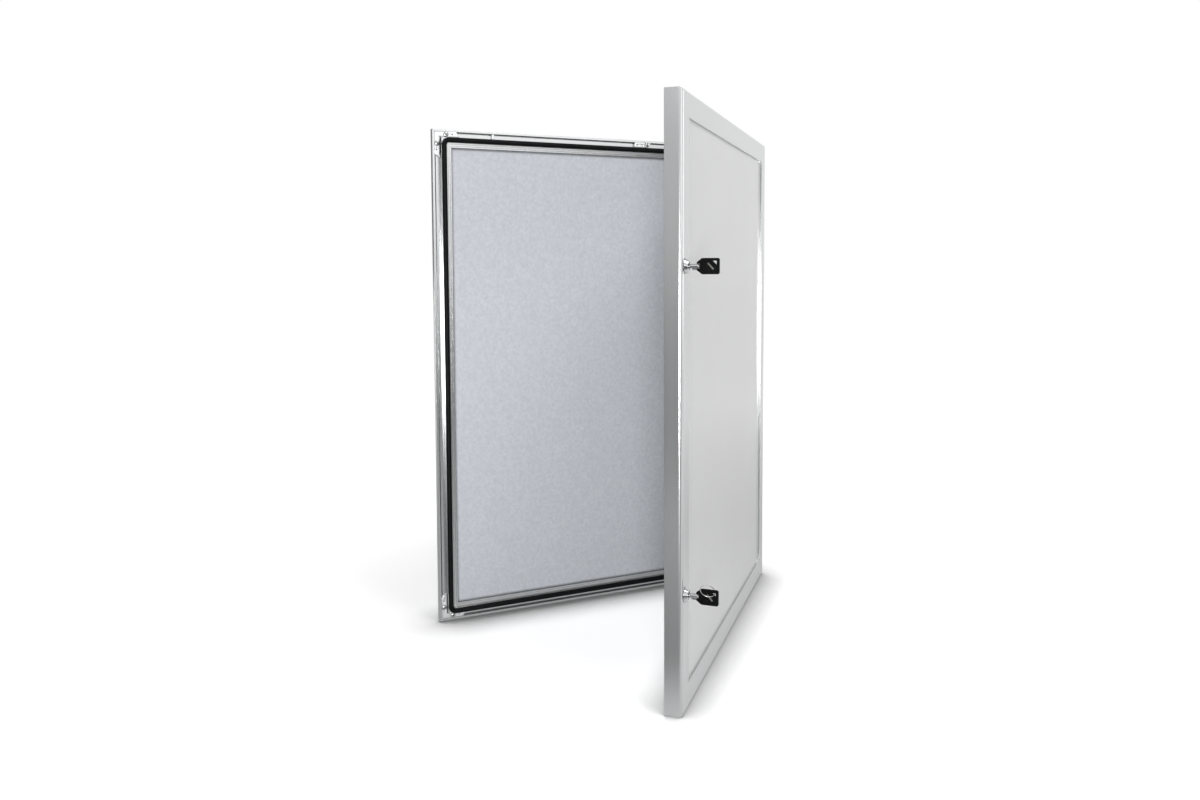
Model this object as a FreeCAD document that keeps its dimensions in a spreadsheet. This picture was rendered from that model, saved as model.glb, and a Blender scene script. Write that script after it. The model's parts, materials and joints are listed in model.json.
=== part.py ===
"""Lockable notice board: a shallow wall case with a felt pin board and a glazed door on two butt hinges.

Everything is in millimetres. +X is right, +Y goes into the wall and +Z is up. The origin is the centre
of the case's back face, which lies on the wall. The door is drawn closed and then swung open to the
pose of the photograph. Two depths are used for the sections: p is measured forward from the plane of
the case's lip, and q forward from the rear edge of the door's skirt; g is measured inwards from the
outer edge of the case or the door.
"""
import FreeCAD, Part
import math
import os

import Sketcher

Vector = FreeCAD.Vector
Rotation = FreeCAD.Rotation
Placement = FreeCAD.Placement

doc = FreeCAD.newDocument("LockableNoticeBoard")
sheet = doc.addObject("Spreadsheet::Sheet", "Sizes")

# Driving dimensions: alias, value and what it measures
DIMENSIONS = (
    ("door_width", 750.0, "outer width of the door"),
    ("door_height", 1000.0, "outer height of the door"),
    ("case_inset", 2.5, "how far the case lies inside the door's outline on each side"),
    ("case_depth", 12.0, "wall to the plane of the case's lip"),
    ("skirt_lap", 3.5, "how far the closed door's skirt reaches over the side of the case"),
    ("open_now", 46.0, "angle of the door at rest, from closed"),
    ("wall", 1.5, "wall of the aluminium sections"),
    ("lip_width", 4.5, "width of the case's outer lip"),
    ("lip_thick", 1.4, "thickness of the case's outer lip"),
    ("slot_floor", 10.5, "depth of the slot under the lip"),
    ("shelf_start", 7.5, "outer edge of the shelf that carries the corner connectors"),
    ("shelf_drop", 4.2, "depth of that shelf below the lip"),
    ("holder_start", 16.5, "outer face of the gasket holder"),
    ("holder_width", 10.0, "width of the gasket holder"),
    ("holder_top", 9.0, "height of the gasket holder above the lip"),
    ("gasket_top", 15.0, "crest of the gasket above the lip"),
    ("ledge_end", 36.5, "inner edge of the case's frame"),
    ("ledge_top", 7.0, "height of the ledge round the pin board"),
    ("sheet_thick", 1.2, "thickness of the steel back sheet"),
    ("core_back", 5.7, "depth of the pin board's back below the lip"),
    ("core_thick", 7.0, "thickness of the soft board"),
    ("felt_thick", 1.2, "thickness of the felt"),
    ("door_depth", 30.0, "depth of the door's frame"),
    ("door_face", 42.0, "width of the door's frame seen from the front"),
    ("door_skin", 1.8, "thickness of the door's visible walls"),
    ("door_round", 6.5, "radius of the door's outer front edge"),
    ("box_start", 12.0, "outer face of the door's hollow box"),
    ("box_end", 31.5, "inner face of the door's hollow box"),
    ("land_height", 18.8, "rear face of the door's box, which meets the gasket"),
    ("land_thick", 1.4, "thickness of that rear face"),
    ("pane_rear", 22.0, "rear face of the pane"),
    ("pane_thick", 4.0, "thickness of the pane"),
    ("lock_inset", 16.0, "lock axis from the door's outer edge"),
    ("upper_lock_z", 724.0, "upper lock above the door's bottom edge"),
    ("lower_lock_z", 198.0, "lower lock above the door's bottom edge"),
    ("barrel_radius", 8.0, "radius of the lock's barrel"),
    ("plug_radius", 6.15, "radius of the lock's turning plug"),
    ("collar_height", 6.5, "how far the lock's collar stands proud"),
    ("hinge_inset", 160.0, "hinge centre from the door's top or bottom edge"),
    ("hinge_length", 90.0, "length of a hinge leaf"),
    ("knuckle_radius", 2.6, "outer radius of the hinge's knuckles"),
    ("pin_radius", 1.4, "radius of the hinge pin"),
    ("hinge_drop", 6.5, "hinge axis behind the plane of the lip"),
)


class Size:
    """A length that knows both its value and the expression that gives it from the sheet."""

    def __init__(self, value, text):
        self.value = value
        self.text = text

    def __add__(self, other):
        other = as_size(other)
        return Size(self.value + other.value, f"({self.text} + {other.text})")

    def __radd__(self, other):
        return as_size(other) + self

    def __sub__(self, other):
        other = as_size(other)
        return Size(self.value - other.value, f"({self.text} - {other.text})")

    def __rsub__(self, other):
        return as_size(other) - self

    def __mul__(self, factor):
        return Size(self.value * factor, f"({self.text} * {factor})")

    def __neg__(self):
        return self * -1


def as_size(length):
    """A plain number becomes a Size of that value."""
    if isinstance(length, Size):
        return length
    return Size(float(length), f"({float(length)})")


def fill_sheet():
    """Write the driving dimensions into the sheet and give each cell its alias."""
    for row, (alias, number, meaning) in enumerate(DIMENSIONS, start=1):
        sheet.set(f"A{row}", alias)
        sheet.set(f"B{row}", str(number))
        sheet.set(f"C{row}", meaning)
        sheet.setAlias(f"B{row}", alias)
    doc.recompute()


fill_sheet()
S = {alias: Size(number, f"Sizes.{alias}") for alias, number, meaning in DIMENSIONS}

# Sizes worked out from the driving ones
case_width = S["door_width"] - S["case_inset"] * 2
case_height = S["door_height"] - S["case_inset"] * 2
holder_end = S["holder_start"] + S["holder_width"]
pane_front = S["pane_rear"] + S["pane_thick"]
box_roof = S["door_depth"] - S["door_skin"]
box_floor = S["land_height"] + S["land_thick"]
door_rear = S["case_depth"] - S["skirt_lap"]
door_front = door_rear + S["door_depth"]
hinge_x = S["door_width"] * 0.5 + S["knuckle_radius"]
hinge_forward = S["case_depth"] - S["hinge_drop"]

FRONT_VIEW = Rotation(Vector(1, 0, 0), 90)
HINGE_AXIS = Vector(hinge_x.value, -hinge_forward.value, 0)
nodes = {}


def at_front(x, forward, z, turn=0.0):
    """Place a piece drawn with x right, y up and z forward; turn is its angle in the plane of the front."""
    spot = Placement(Vector(x, -forward, z), FRONT_VIEW)
    return spot.multiply(Placement(Vector(0, 0, 0), Rotation(Vector(0, 0, 1), turn)))


def swung(placement):
    """Carry a placement on the closed door to where the open door holds it."""
    swing = Placement(Vector(0, 0, 0), Rotation(Vector(0, 0, 1), S["open_now"].value), HINGE_AXIS)
    return swing.multiply(placement)


def add_node(thing, label, placement):
    """Name a finished piece and put it in its place."""
    thing.Label = label
    thing.Placement = placement
    nodes[label] = thing
    return thing


def new_body(label):
    """An empty body for one piece."""
    return doc.addObject("PartDesign::Body", label)


def origin_plane(body, role):
    """One of the body's own origin planes."""
    for feature in body.Origin.OriginFeatures:
        if feature.Role == role:
            return feature
    raise RuntimeError(f"{body.Name} has no {role}")


def sketch_on(body, role, lift=0.0):
    """A sketch on one of the body's origin planes, lifted along the plane's normal."""
    sketch = body.newObject("Sketcher::SketchObject", f"{body.Name}_sketch")
    sketch.AttachmentSupport = [(origin_plane(body, role), "")]
    sketch.MapMode = "FlatFace"
    lift = as_size(lift)
    sketch.AttachmentOffset = Placement(Vector(0, 0, lift.value), Rotation())
    sketch.setExpression("AttachmentOffset.Base.z", lift.text)
    return sketch


def bind(sketch, constraints):
    """Add (constraint, Size) pairs and tie each one to its expression."""
    for constraint, length in constraints:
        index = sketch.addConstraint(constraint)
        sketch.setExpression(f"Constraints[{index}]", length.text)


def draw_outline(sketch, corners):
    """A closed outline of straight lines through the corners, each corner held by its two sizes."""
    corners = [(as_size(x), as_size(y)) for x, y in corners]
    count = len(corners)
    spots = [Vector(x.value, y.value, 0) for x, y in corners]
    lines = [Part.LineSegment(spots[i], spots[(i + 1) % count]) for i in range(count)]
    first = sketch.addGeometry(lines, False)[0]
    joins = []
    for i in range(count):
        joins.append(Sketcher.Constraint("Coincident", first + i, 2, first + (i + 1) % count, 1))
    sketch.addConstraint(joins)
    held = []
    for i, (x, y) in enumerate(corners):
        held.append((Sketcher.Constraint("DistanceX", -1, 1, first + i, 1, x.value), x))
        held.append((Sketcher.Constraint("DistanceY", -1, 1, first + i, 1, y.value), y))
    bind(sketch, held)


def draw_circle(sketch, x, y, radius):
    """A circle held by its centre and radius."""
    x, y, radius = as_size(x), as_size(y), as_size(radius)
    circle = Part.Circle(Vector(x.value, y.value, 0), Vector(0, 0, 1), radius.value)
    index = sketch.addGeometry(circle, False)
    bind(sketch, (
        (Sketcher.Constraint("DistanceX", -1, 1, index, 3, x.value), x),
        (Sketcher.Constraint("DistanceY", -1, 1, index, 3, y.value), y),
        (Sketcher.Constraint("Radius", index, radius.value), radius),
    ))


def draw_box(sketch, low_x, low_y, high_x, high_y):
    """A rectangle from its lowest to its highest corner."""
    draw_outline(sketch, ((low_x, low_y), (high_x, low_y), (high_x, high_y), (low_x, high_y)))


def pad(body, sketch, length, symmetric=False):
    """Grow the sketch into a solid along its normal, or to both sides of it."""
    length = as_size(length)
    feature = body.newObject("PartDesign::Pad", f"{body.Name}_pad")
    feature.Profile = sketch
    feature.Length = length.value
    feature.setExpression("Length", length.text)
    if symmetric:
        feature.SideType = "Symmetric"
    doc.recompute()
    return feature


def revolve(body, sketch):
    """Turn the sketch once round the body's upright axis."""
    feature = body.newObject("PartDesign::Revolution", f"{body.Name}_turned")
    feature.Profile = sketch
    feature.ReferenceAxis = (sketch, ["V_Axis"])
    feature.Angle = 360
    doc.recompute()
    return feature


def cut(body, sketch, length=None, reverse=False):
    """Cut the sketch out of the body, right through it if no length is given, and check that it cut."""
    before = body.Shape.Volume
    feature = body.newObject("PartDesign::Pocket", f"{body.Name}_cut")
    feature.Profile = sketch
    if length is None:
        feature.Type = "ThroughAll"
        feature.SideType = "Symmetric"
    else:
        length = as_size(length)
        feature.Length = length.value
        feature.setExpression("Length", length.text)
        feature.Reversed = reverse
    doc.recompute()
    if not feature.Shape.Volume < before - 0.01:
        raise RuntimeError(f"{feature.Name} cuts nothing")
    return feature


def soften(body, radius, chosen):
    """Round the edges of the body whose middle point is picked by chosen."""
    radius = as_size(radius)
    tip = body.Tip
    names = [f"Edge{number}" for number, edge in enumerate(tip.Shape.Edges, start=1) if chosen(edge)]
    if not names:
        raise RuntimeError(f"{body.Name} has no edge to round")
    feature = body.newObject("PartDesign::Fillet", f"{body.Name}_round")
    feature.Base = (tip, names)
    feature.Radius = radius.value
    feature.setExpression("Radius", radius.text)
    doc.recompute()
    return feature


def bevel(body, size, chosen):
    """Cut a flat bevel along the edges of the body that are picked by chosen."""
    tip = body.Tip
    names = [f"Edge{number}" for number, edge in enumerate(tip.Shape.Edges, start=1) if chosen(edge)]
    if not names:
        raise RuntimeError(f"{body.Name} has no edge to bevel")
    feature = body.newObject("PartDesign::Chamfer", f"{body.Name}_bevel")
    feature.Base = (tip, names)
    feature.Size = size
    doc.recompute()
    return feature


def middle(edge):
    """The point half way along an edge."""
    return edge.valueAt((edge.FirstParameter + edge.LastParameter) / 2)


def is_near(point, y, z):
    """True for a point on the line of a section's corner."""
    return abs(point.y - y) < 0.01 and abs(point.z - z) < 0.01


# Case frame
def case_section(sketch):
    """Section of the case's extrusion: lip, slot, shelf, gasket holder, ribbed ledge and rear flanges."""
    wall = S["wall"]
    start = S["holder_start"]
    top = S["holder_top"]
    centre = start + S["holder_width"] * 0.5
    ledge = S["ledge_top"]
    inner = S["ledge_end"]
    rear = -S["case_depth"]
    seat = rear + S["sheet_thick"]
    rib = as_size(0.5)
    draw_outline(sketch, (
        (0, rear), (0, 0), (S["lip_width"], 0), (S["lip_width"], -S["lip_thick"]),
        (wall, -S["lip_thick"]), (wall, -S["slot_floor"]), (S["shelf_start"], -S["slot_floor"]),
        (S["shelf_start"], -S["shelf_drop"]), (start, -S["shelf_drop"]), (start, top),
        (centre - 1.2, top), (centre - 1.2, top - 1.2), (centre - 2.1, top - 1.2), (centre - 2.1, top - 4),
        (centre + 2.1, top - 4), (centre + 2.1, top - 1.2), (centre + 1.2, top - 1.2), (centre + 1.2, top),
        (holder_end, top), (holder_end, ledge),
        (inner - 7.3, ledge), (inner - 7.3, ledge - rib), (inner - 6.5, ledge - rib), (inner - 6.5, ledge),
        (inner - 3.5, ledge), (inner - 3.5, ledge - rib), (inner - 2.7, ledge - rib), (inner - 2.7, ledge),
        (inner, ledge), (inner, ledge - 2.8), (inner - 1.4, ledge - 2.8), (inner - 1.4, ledge - wall),
        (holder_end, ledge - wall), (holder_end, -S["core_back"]),
        (inner - 2.5, -S["core_back"]), (inner - 2.5, -S["core_back"] - wall),
        (holder_end, -S["core_back"] - wall), (holder_end, seat + 1.4),
        (inner - 2.5, seat + 1.4), (inner - 2.5, seat), (holder_end - 2.5, seat), (holder_end - 2.5, rear),
    ))
    shelf_under = -S["shelf_drop"] - wall
    draw_outline(sketch, (
        (S["shelf_start"] + wall, seat + 1.4), (S["shelf_start"] + wall, shelf_under),
        (start + wall, shelf_under), (start + wall, top - 5.4),
        (holder_end - wall, top - 5.4), (holder_end - wall, seat + 1.4),
    ))


def mitre(body, length, width):
    """Cut both ends of a rail at 45 degrees, so that it is longest at its outer edge."""
    sketch = sketch_on(body, "XY_Plane")
    width = as_size(width)
    half = length * 0.5
    for side in (-1, 1):
        draw_outline(sketch, (((half + 1) * side, -1), ((half + 3) * side, -1),
                              ((half + 3) * side, width), ((half - width) * side, width)))
    cut(body, sketch)


def case_rail(label, length, placement):
    """One mitred length of the case's frame."""
    body = new_body(label)
    section = sketch_on(body, "YZ_Plane")
    case_section(section)
    pad(body, section, length, symmetric=True)
    mitre(body, length, 40)
    soften(body, 0.4, lambda edge: is_near(middle(edge), 0, 0))
    return add_node(body, label, placement)


def make_case_frame():
    """Four mitred rails round the pin board."""
    half_w = case_width.value / 2
    half_h = case_height.value / 2
    depth = S["case_depth"].value
    case_rail("case_rail_bottom", case_width, at_front(0, depth, -half_h))
    case_rail("case_rail_top", case_width, at_front(0, depth, half_h, 180))
    case_rail("case_rail_left", case_height, at_front(-half_w, depth, 0, -90))
    case_rail("case_rail_right", case_height, at_front(half_w, depth, 0, 90))


MOUNT_HALF_X = 300.0
MOUNT_HALF_Z = 425.0
MOUNT_HOLE = 4.0


def make_back_sheet():
    """Steel sheet bonded into the rear rebate of the frame, with four holes for the wall screws."""
    body = new_body("back_sheet")
    outline = sketch_on(body, "XY_Plane")
    edge = holder_end - 2.2
    half_x = case_width * 0.5 - edge
    half_y = case_height * 0.5 - edge
    draw_box(outline, -half_x, -half_y, half_x, half_y)
    for x in (-MOUNT_HALF_X, MOUNT_HALF_X):
        for y in (-MOUNT_HALF_Z, MOUNT_HALF_Z):
            draw_circle(outline, x, y, MOUNT_HOLE)
    pad(body, outline, S["sheet_thick"])
    add_node(body, "back_sheet", at_front(0, 0, 0))


def slab(label, low, high, back, thickness):
    """A flat rectangular piece between two corners, with its back at the given height."""
    body = new_body(label)
    outline = sketch_on(body, "XY_Plane", back)
    draw_box(outline, low[0], low[1], high[0], high[1])
    pad(body, outline, thickness)
    return body


def make_pin_board():
    """Soft board with its felt face; it drops in behind the ledge at the bottom and the top."""
    half_x = case_width * 0.5 - S["ledge_end"] - 0.5
    low = (-half_x, -(case_height * 0.5 - 30.5))
    high = (half_x, case_height * 0.5 - 33.0)
    depth = S["case_depth"].value
    core = slab("pin_board_core", low, high, -S["core_back"], S["core_thick"])
    add_node(core, "pin_board_core", at_front(0, depth, 0))
    felt = slab("felt_cover", low, high, S["core_thick"] - S["core_back"], S["felt_thick"])
    add_node(felt, "felt_cover", at_front(0, depth, 0))


def rounded_ring(body, lift, inset, width, outer_radius, thickness):
    """A rectangular ring with rounded corners, inset from the edge of the case."""
    rounds = (outer_radius, outer_radius - width)
    for number, (grow, radius) in enumerate(zip((0.0, width), rounds)):
        outline = sketch_on(body, "XY_Plane", lift)
        edge = inset + grow
        half_x = case_width * 0.5 - edge
        half_y = case_height * 0.5 - edge
        draw_box(outline, -half_x, -half_y, half_x, half_y)
        if number == 0:
            pad(body, outline, thickness)
        else:
            cut(body, outline, thickness, reverse=True)
        reach_x, reach_y = half_x.value, half_y.value
        soften(body, radius, lambda edge: abs(abs(middle(edge).x) - reach_x) < 0.01
               and abs(abs(middle(edge).y) - reach_y) < 0.01)


def foot_outline(centre, top):
    """Barbed foot of the seal, centred on its groove and grown a little into the bulb."""
    half_profile = ((1.0, top + 0.4), (1.0, top - 1.4), (1.8, top - 1.4), (0.5, top - 3.7))
    left = [(centre - across, height) for across, height in half_profile]
    right = [(centre + across, height) for across, height in reversed(half_profile)]
    return left + right


def make_gasket():
    """Black rubber seal: a bulb on the holder with rounded corners, and a foot in the groove of each rail."""
    body = new_body("case_gasket")
    top = S["holder_top"]
    rounded_ring(body, top, S["holder_start"] + 0.1, 9.8, 15.5, S["gasket_top"] - top)
    crest = S["gasket_top"].value
    bevel(body, 2.4, lambda edge: abs(middle(edge).z - crest) < 0.01)
    groove = S["holder_start"] + S["holder_width"] * 0.5
    runs = (("YZ_Plane", case_height, case_width), ("XZ_Plane", case_width, case_height))
    for plane, across, along in runs:
        feet = sketch_on(body, plane)
        for side in (-1, 1):
            draw_outline(feet, foot_outline((across * 0.5 - groove) * side, top))
        pad(body, feet, along - 68.0, symmetric=True)
    add_node(body, "case_gasket", at_front(0, S["case_depth"].value, 0))


CONNECTOR_LOW = 4.7
CONNECTOR_HIGH = 14.7
ARM_SHORT = 49.0
ARM_LONG = 55.0
CONNECTOR_DROP = 0.2


def corner_outline(low, high, short, long):
    """An L with slanted ends, in the corner where both edges of the case are at zero."""
    return ((low, low), (short, low), (long, high), (high, high), (high, long), (low, short))


def make_corner_connectors():
    """Cast L-shaped connectors in the corners of the channel, each with a tongue in the slot."""
    half_w = case_width.value / 2
    half_h = case_height.value / 2
    corners = (("bottom_left", -half_w, -half_h, 0), ("bottom_right", half_w, -half_h, 90),
               ("top_right", half_w, half_h, 180), ("top_left", -half_w, half_h, 270))
    for corner, x, z, turn in corners:
        label = f"corner_connector_{corner}"
        body = new_body(label)
        plate = sketch_on(body, "XY_Plane", -S["shelf_drop"])
        draw_outline(plate, corner_outline(CONNECTOR_LOW, CONNECTOR_HIGH, ARM_SHORT, ARM_LONG))
        pad(body, plate, S["shelf_drop"] - CONNECTOR_DROP)
        tongue = sketch_on(body, "XY_Plane", -S["slot_floor"] + 0.2)
        draw_outline(tongue, corner_outline(CONNECTOR_LOW + 0.2, S["shelf_start"] - 0.2, 44.0, 46.0))
        pad(body, tongue, S["slot_floor"] - S["shelf_drop"] - 0.1)
        add_node(body, label, at_front(x, S["case_depth"].value, z, turn))


def group_of(template, label, places):
    """Copies of one piece, kept together as separate solids."""
    group = doc.addObject("Part::Feature", label)
    copies = []
    for placement in places:
        copy = template.Shape.copy()
        copy.Placement = placement
        copies.append(copy)
    group.Shape = Part.makeCompound(copies)
    add_node(group, label, Placement())


CLIP_CENTRE = -247.0
ANCHOR_CENTRE = 92.0
ANCHOR_LENGTH = 38.0


def make_channel_inserts():
    """A narrow clip and a longer anchor plate, both in the channel of the top rail."""
    top_edge = case_height.value / 2
    depth = S["case_depth"].value
    clip = new_body("channel_clip")
    plate = sketch_on(clip, "XY_Plane", -S["shelf_drop"])
    draw_box(plate, -2.5, CONNECTOR_LOW, 2.5, CONNECTOR_HIGH)
    pad(clip, plate, S["shelf_drop"] - 0.6)
    soften(clip, 0.5, lambda edge: abs(middle(edge).z + 0.6) < 0.01)
    add_node(clip, "channel_clip", at_front(CLIP_CENTRE, depth, top_edge, 180))

    anchor = new_body("stay_anchor")
    plate = sketch_on(anchor, "XY_Plane", -S["shelf_drop"])
    draw_outline(plate, ((-21, CONNECTOR_LOW), (-21 + ANCHOR_LENGTH, CONNECTOR_LOW),
                         (21, CONNECTOR_HIGH), (-15, CONNECTOR_HIGH)))
    pad(anchor, plate, S["shelf_drop"] - CONNECTOR_DROP)
    add_node(anchor, "stay_anchor", at_front(ANCHOR_CENTRE, depth, top_edge, 180))


# Door frame
def door_section(sketch):
    """Section of the door's extrusion: skirt, face, hollow box with the sealing land, and pane rebate."""
    face = S["door_face"]
    skin = S["door_skin"]
    depth = S["door_depth"]
    land = S["land_height"]
    draw_outline(sketch, (
        (0, 0), (skin, 0), (skin, box_roof), (S["box_start"], box_roof), (S["box_start"], land),
        (S["box_end"], land), (S["box_end"], S["pane_rear"] - 1.6), (face - 2.0, S["pane_rear"] - 1.6),
        (face - 2.0, S["pane_rear"] - 0.2), (S["box_end"], S["pane_rear"] - 0.2), (S["box_end"], box_roof),
        (face - 1.6, box_roof), (face - 1.6, pane_front + 0.2), (face, pane_front + 0.2),
        (face, depth), (0, depth),
    ))
    draw_box(sketch, S["box_start"] + 1.6, box_floor, S["box_end"] - 1.6, box_roof)


def door_rail(label, length, placement):
    """One mitred length of the door's frame, with the large radius along its outer front edge."""
    body = new_body(label)
    section = sketch_on(body, "YZ_Plane")
    door_section(section)
    pad(body, section, length, symmetric=True)
    front = S["door_depth"].value
    face = S["door_face"].value
    skin = S["door_skin"].value
    roof = box_roof.value
    soften(body, S["door_round"] - S["door_skin"], lambda edge: is_near(middle(edge), skin, roof))
    soften(body, S["door_round"], lambda edge: is_near(middle(edge), 0, front))
    soften(body, 0.5, lambda edge: is_near(middle(edge), face, front))
    mitre(body, length, 44)
    return add_node(body, label, placement)


LOCK_WINDOW = 16.0


def cut_lock_openings(body):
    """Holes for the two lock barrels, and the windows in the box that let the cams swing."""
    half = S["door_height"] * 0.5
    holes = sketch_on(body, "XY_Plane", box_roof - 1.0)
    windows = sketch_on(body, "XY_Plane")
    for height in (S["upper_lock_z"], S["lower_lock_z"]):
        # the lock stile is drawn turned by a right angle, so its x axis points down
        along = half - height
        draw_circle(holes, along, S["lock_inset"], S["barrel_radius"] + 0.1)
        draw_box(windows, along - LOCK_WINDOW, S["box_start"] - 0.1, along + LOCK_WINDOW, 19.0)
    cut(body, holes, S["door_skin"] + 2.0, reverse=True)
    cut(body, windows, box_roof, reverse=True)


def make_door_frame():
    """Four mitred door rails; the left one carries the locks."""
    half_w = S["door_width"].value / 2
    half_h = S["door_height"].value / 2
    rear = door_rear.value
    door_rail("door_rail_bottom", S["door_width"], swung(at_front(0, rear, -half_h)))
    door_rail("door_rail_top", S["door_width"], swung(at_front(0, rear, half_h, 180)))
    stile = door_rail("door_stile_lock", S["door_height"], swung(at_front(-half_w, rear, 0, -90)))
    cut_lock_openings(stile)
    door_rail("door_stile_hinge", S["door_height"], swung(at_front(half_w, rear, 0, 90)))


def make_door_cleats():
    """Cast L-shaped cleats inside the hollow box, one across each mitre."""
    half_w = S["door_width"].value / 2
    half_h = S["door_height"].value / 2
    corners = (("bottom_left", -half_w, -half_h, 0), ("bottom_right", half_w, -half_h, 90),
               ("top_right", half_w, half_h, 180), ("top_left", -half_w, half_h, 270))
    for corner, x, z, turn in corners:
        label = f"door_cleat_{corner}"
        body = new_body(label)
        outline = sketch_on(body, "XY_Plane", box_floor + 0.1)
        low = S["box_start"] + 1.7
        high = S["box_end"] - 1.7
        draw_outline(outline, corner_outline(low, high, high + 32.0, high + 32.0))
        pad(body, outline, box_roof - box_floor - 0.2)
        web = sketch_on(body, "XY_Plane", box_floor + 0.1)
        draw_outline(web, corner_outline(low + 3.0, high - 3.0, high + 33.0, high + 33.0))
        cut(body, web, box_roof - box_floor - 3.0, reverse=True)
        add_node(body, label, swung(at_front(x, door_rear.value, z, turn)))


def make_pane():
    """The clouded safety pane and the thin seal round its edge."""
    half_x = S["door_width"] * 0.5 - S["box_end"] - 1.5
    half_y = S["door_height"] * 0.5 - S["box_end"] - 1.5
    rear = door_rear.value
    pane = slab("door_pane", (-half_x, -half_y), (half_x, half_y), S["pane_rear"], S["pane_thick"])
    add_node(pane, "door_pane", swung(at_front(0, rear, 0)))
    seal = new_body("pane_seal")
    ring = sketch_on(seal, "XY_Plane", S["pane_rear"] - 0.2)
    draw_box(ring, -half_x - 1.3, -half_y - 1.3, half_x + 1.3, half_y + 1.3)
    inner = 6.8
    draw_box(ring, -half_x + inner, -half_y + inner, half_x - inner, half_y - inner)
    pad(seal, ring, box_roof - S["pane_rear"] + 0.1)
    gap = sketch_on(seal, "XY_Plane", S["pane_rear"])
    draw_box(gap, -half_x, -half_y, half_x, half_y)
    cut(seal, gap, S["pane_thick"], reverse=True)
    add_node(seal, "pane_seal", swung(at_front(0, rear, 0)))


# Hinges
KNUCKLES = 3
KNUCKLE_SPAN = 60.0
KNUCKLE_GAP = 0.3
LEAF_THICK = 1.3


def knuckle_bands(offset):
    """The heights of every other knuckle, counted from the lower end of the hinge."""
    step = KNUCKLE_SPAN / KNUCKLES
    bands = []
    for number in range(offset, KNUCKLES, 2):
        low = -KNUCKLE_SPAN / 2 + number * step + KNUCKLE_GAP / 2
        bands.append((low, step - KNUCKLE_GAP))
    return bands


def add_knuckles(body, bands, web):
    """Rolled knuckles with their bore for the pin, each joined to the leaf by a short web."""
    for low, height in bands:
        roll = sketch_on(body, "XY_Plane", low)
        draw_circle(roll, 0, 0, S["knuckle_radius"])
        pad(body, roll, height)
        neck = sketch_on(body, "XY_Plane", low)
        draw_outline(neck, web)
        pad(body, neck, height)
    bore = sketch_on(body, "XY_Plane")
    draw_circle(bore, 0, 0, S["pin_radius"] + 0.05)
    cut(body, bore)


def make_hinge(name, height):
    """One butt hinge, drawn closed with its axis upright at the origin: x outwards and y into the wall."""
    case_side = -(S["knuckle_radius"] + S["case_inset"])
    leaf = new_body(f"{name}_hinge_case_leaf")
    low, high = -(S["hinge_length"] * 0.5), S["hinge_length"] * 0.5
    plate = sketch_on(leaf, "XY_Plane", low)
    draw_box(plate, case_side, S["hinge_drop"] - 8.8, -S["knuckle_radius"] - 0.3, S["hinge_drop"] - 1.2)
    pad(leaf, plate, S["hinge_length"])
    neck = ((-S["knuckle_radius"] - 0.6, 1.3), (0, 1.3), (0, S["knuckle_radius"]),
            (-S["knuckle_radius"] - 0.6, S["knuckle_radius"]))
    add_knuckles(leaf, knuckle_bands(0), neck)
    upright = Vector(HINGE_AXIS.x, HINGE_AXIS.y, height)
    add_node(leaf, f"{name}_hinge_case_leaf", Placement(upright, Rotation()))

    leaf = new_body(f"{name}_hinge_door_leaf")
    plate = sketch_on(leaf, "XY_Plane", low)
    skirt_rear = -(S["hinge_drop"] - S["skirt_lap"])
    draw_box(plate, -S["knuckle_radius"], skirt_rear - 16.0, -S["knuckle_radius"] + LEAF_THICK, skirt_rear - 1.0)
    pad(leaf, plate, S["hinge_length"])
    neck = ((-S["knuckle_radius"], skirt_rear - 2.0), (-S["knuckle_radius"] + LEAF_THICK, skirt_rear - 2.0),
            (-S["knuckle_radius"] + LEAF_THICK, 0), (-S["knuckle_radius"], 0))
    add_knuckles(leaf, knuckle_bands(1), neck)
    add_node(leaf, f"{name}_hinge_door_leaf", swung(Placement(upright, Rotation())))

    pin = new_body(f"{name}_hinge_pin")
    profile = sketch_on(pin, "XZ_Plane")
    end = KNUCKLE_SPAN / 2
    draw_box(profile, 0, -end, S["pin_radius"], end)
    revolve(pin, profile)
    add_node(pin, f"{name}_hinge_pin", Placement(upright, Rotation()))


def make_hinges():
    """Two butt hinges on the right-hand side."""
    reach = S["door_height"].value / 2 - S["hinge_inset"].value
    make_hinge("upper", reach)
    make_hinge("lower", -reach)


# Locks and keys
CAM_TOP = -6.0
CAM_THICK = 2.0
HOOK_RADIUS = 6.5
HOOK_TIP = 11.2
PLUG_FLANGE = 1.0
KEYWAY_OUTER = 3.85
KEYWAY_INNER = 2.4
KEYWAY_DEPTH = 8.0
SHANK_OUTER = 3.75
SHANK_INNER = 2.7
HEAD_START = 19.0
HEAD_LENGTH = 36.0
HEAD_WIDTH = 25.4
HEAD_THICK = 3.4
EYE_MARGIN = 4.4
EYE_LEG = 6.4


def lock_place(height):
    """The open door's lock axis at the front face: x inwards, y up and z out of the door."""
    x = -S["door_width"].value / 2 + S["lock_inset"].value
    return swung(at_front(x, door_front.value, height.value - S["door_height"].value / 2))


def barrel_pattern():
    """The fixed shell of a lock with its flared chrome collar."""
    body = new_body("lock_barrel_pattern")
    profile = sketch_on(body, "XZ_Plane")
    proud = S["collar_height"]
    bore = S["plug_radius"] + 0.05
    mouth = bore + PLUG_FLANGE
    step = proud - 2.3
    draw_outline(profile, ((bore, -5.4), (S["barrel_radius"], -5.4), (S["barrel_radius"], 0), (12.2, 0),
                           (12.2, 1.0), (9.4, proud), (mouth, proud),
                           (mouth, step), (bore, step)))
    revolve(body, profile)
    return body


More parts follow.
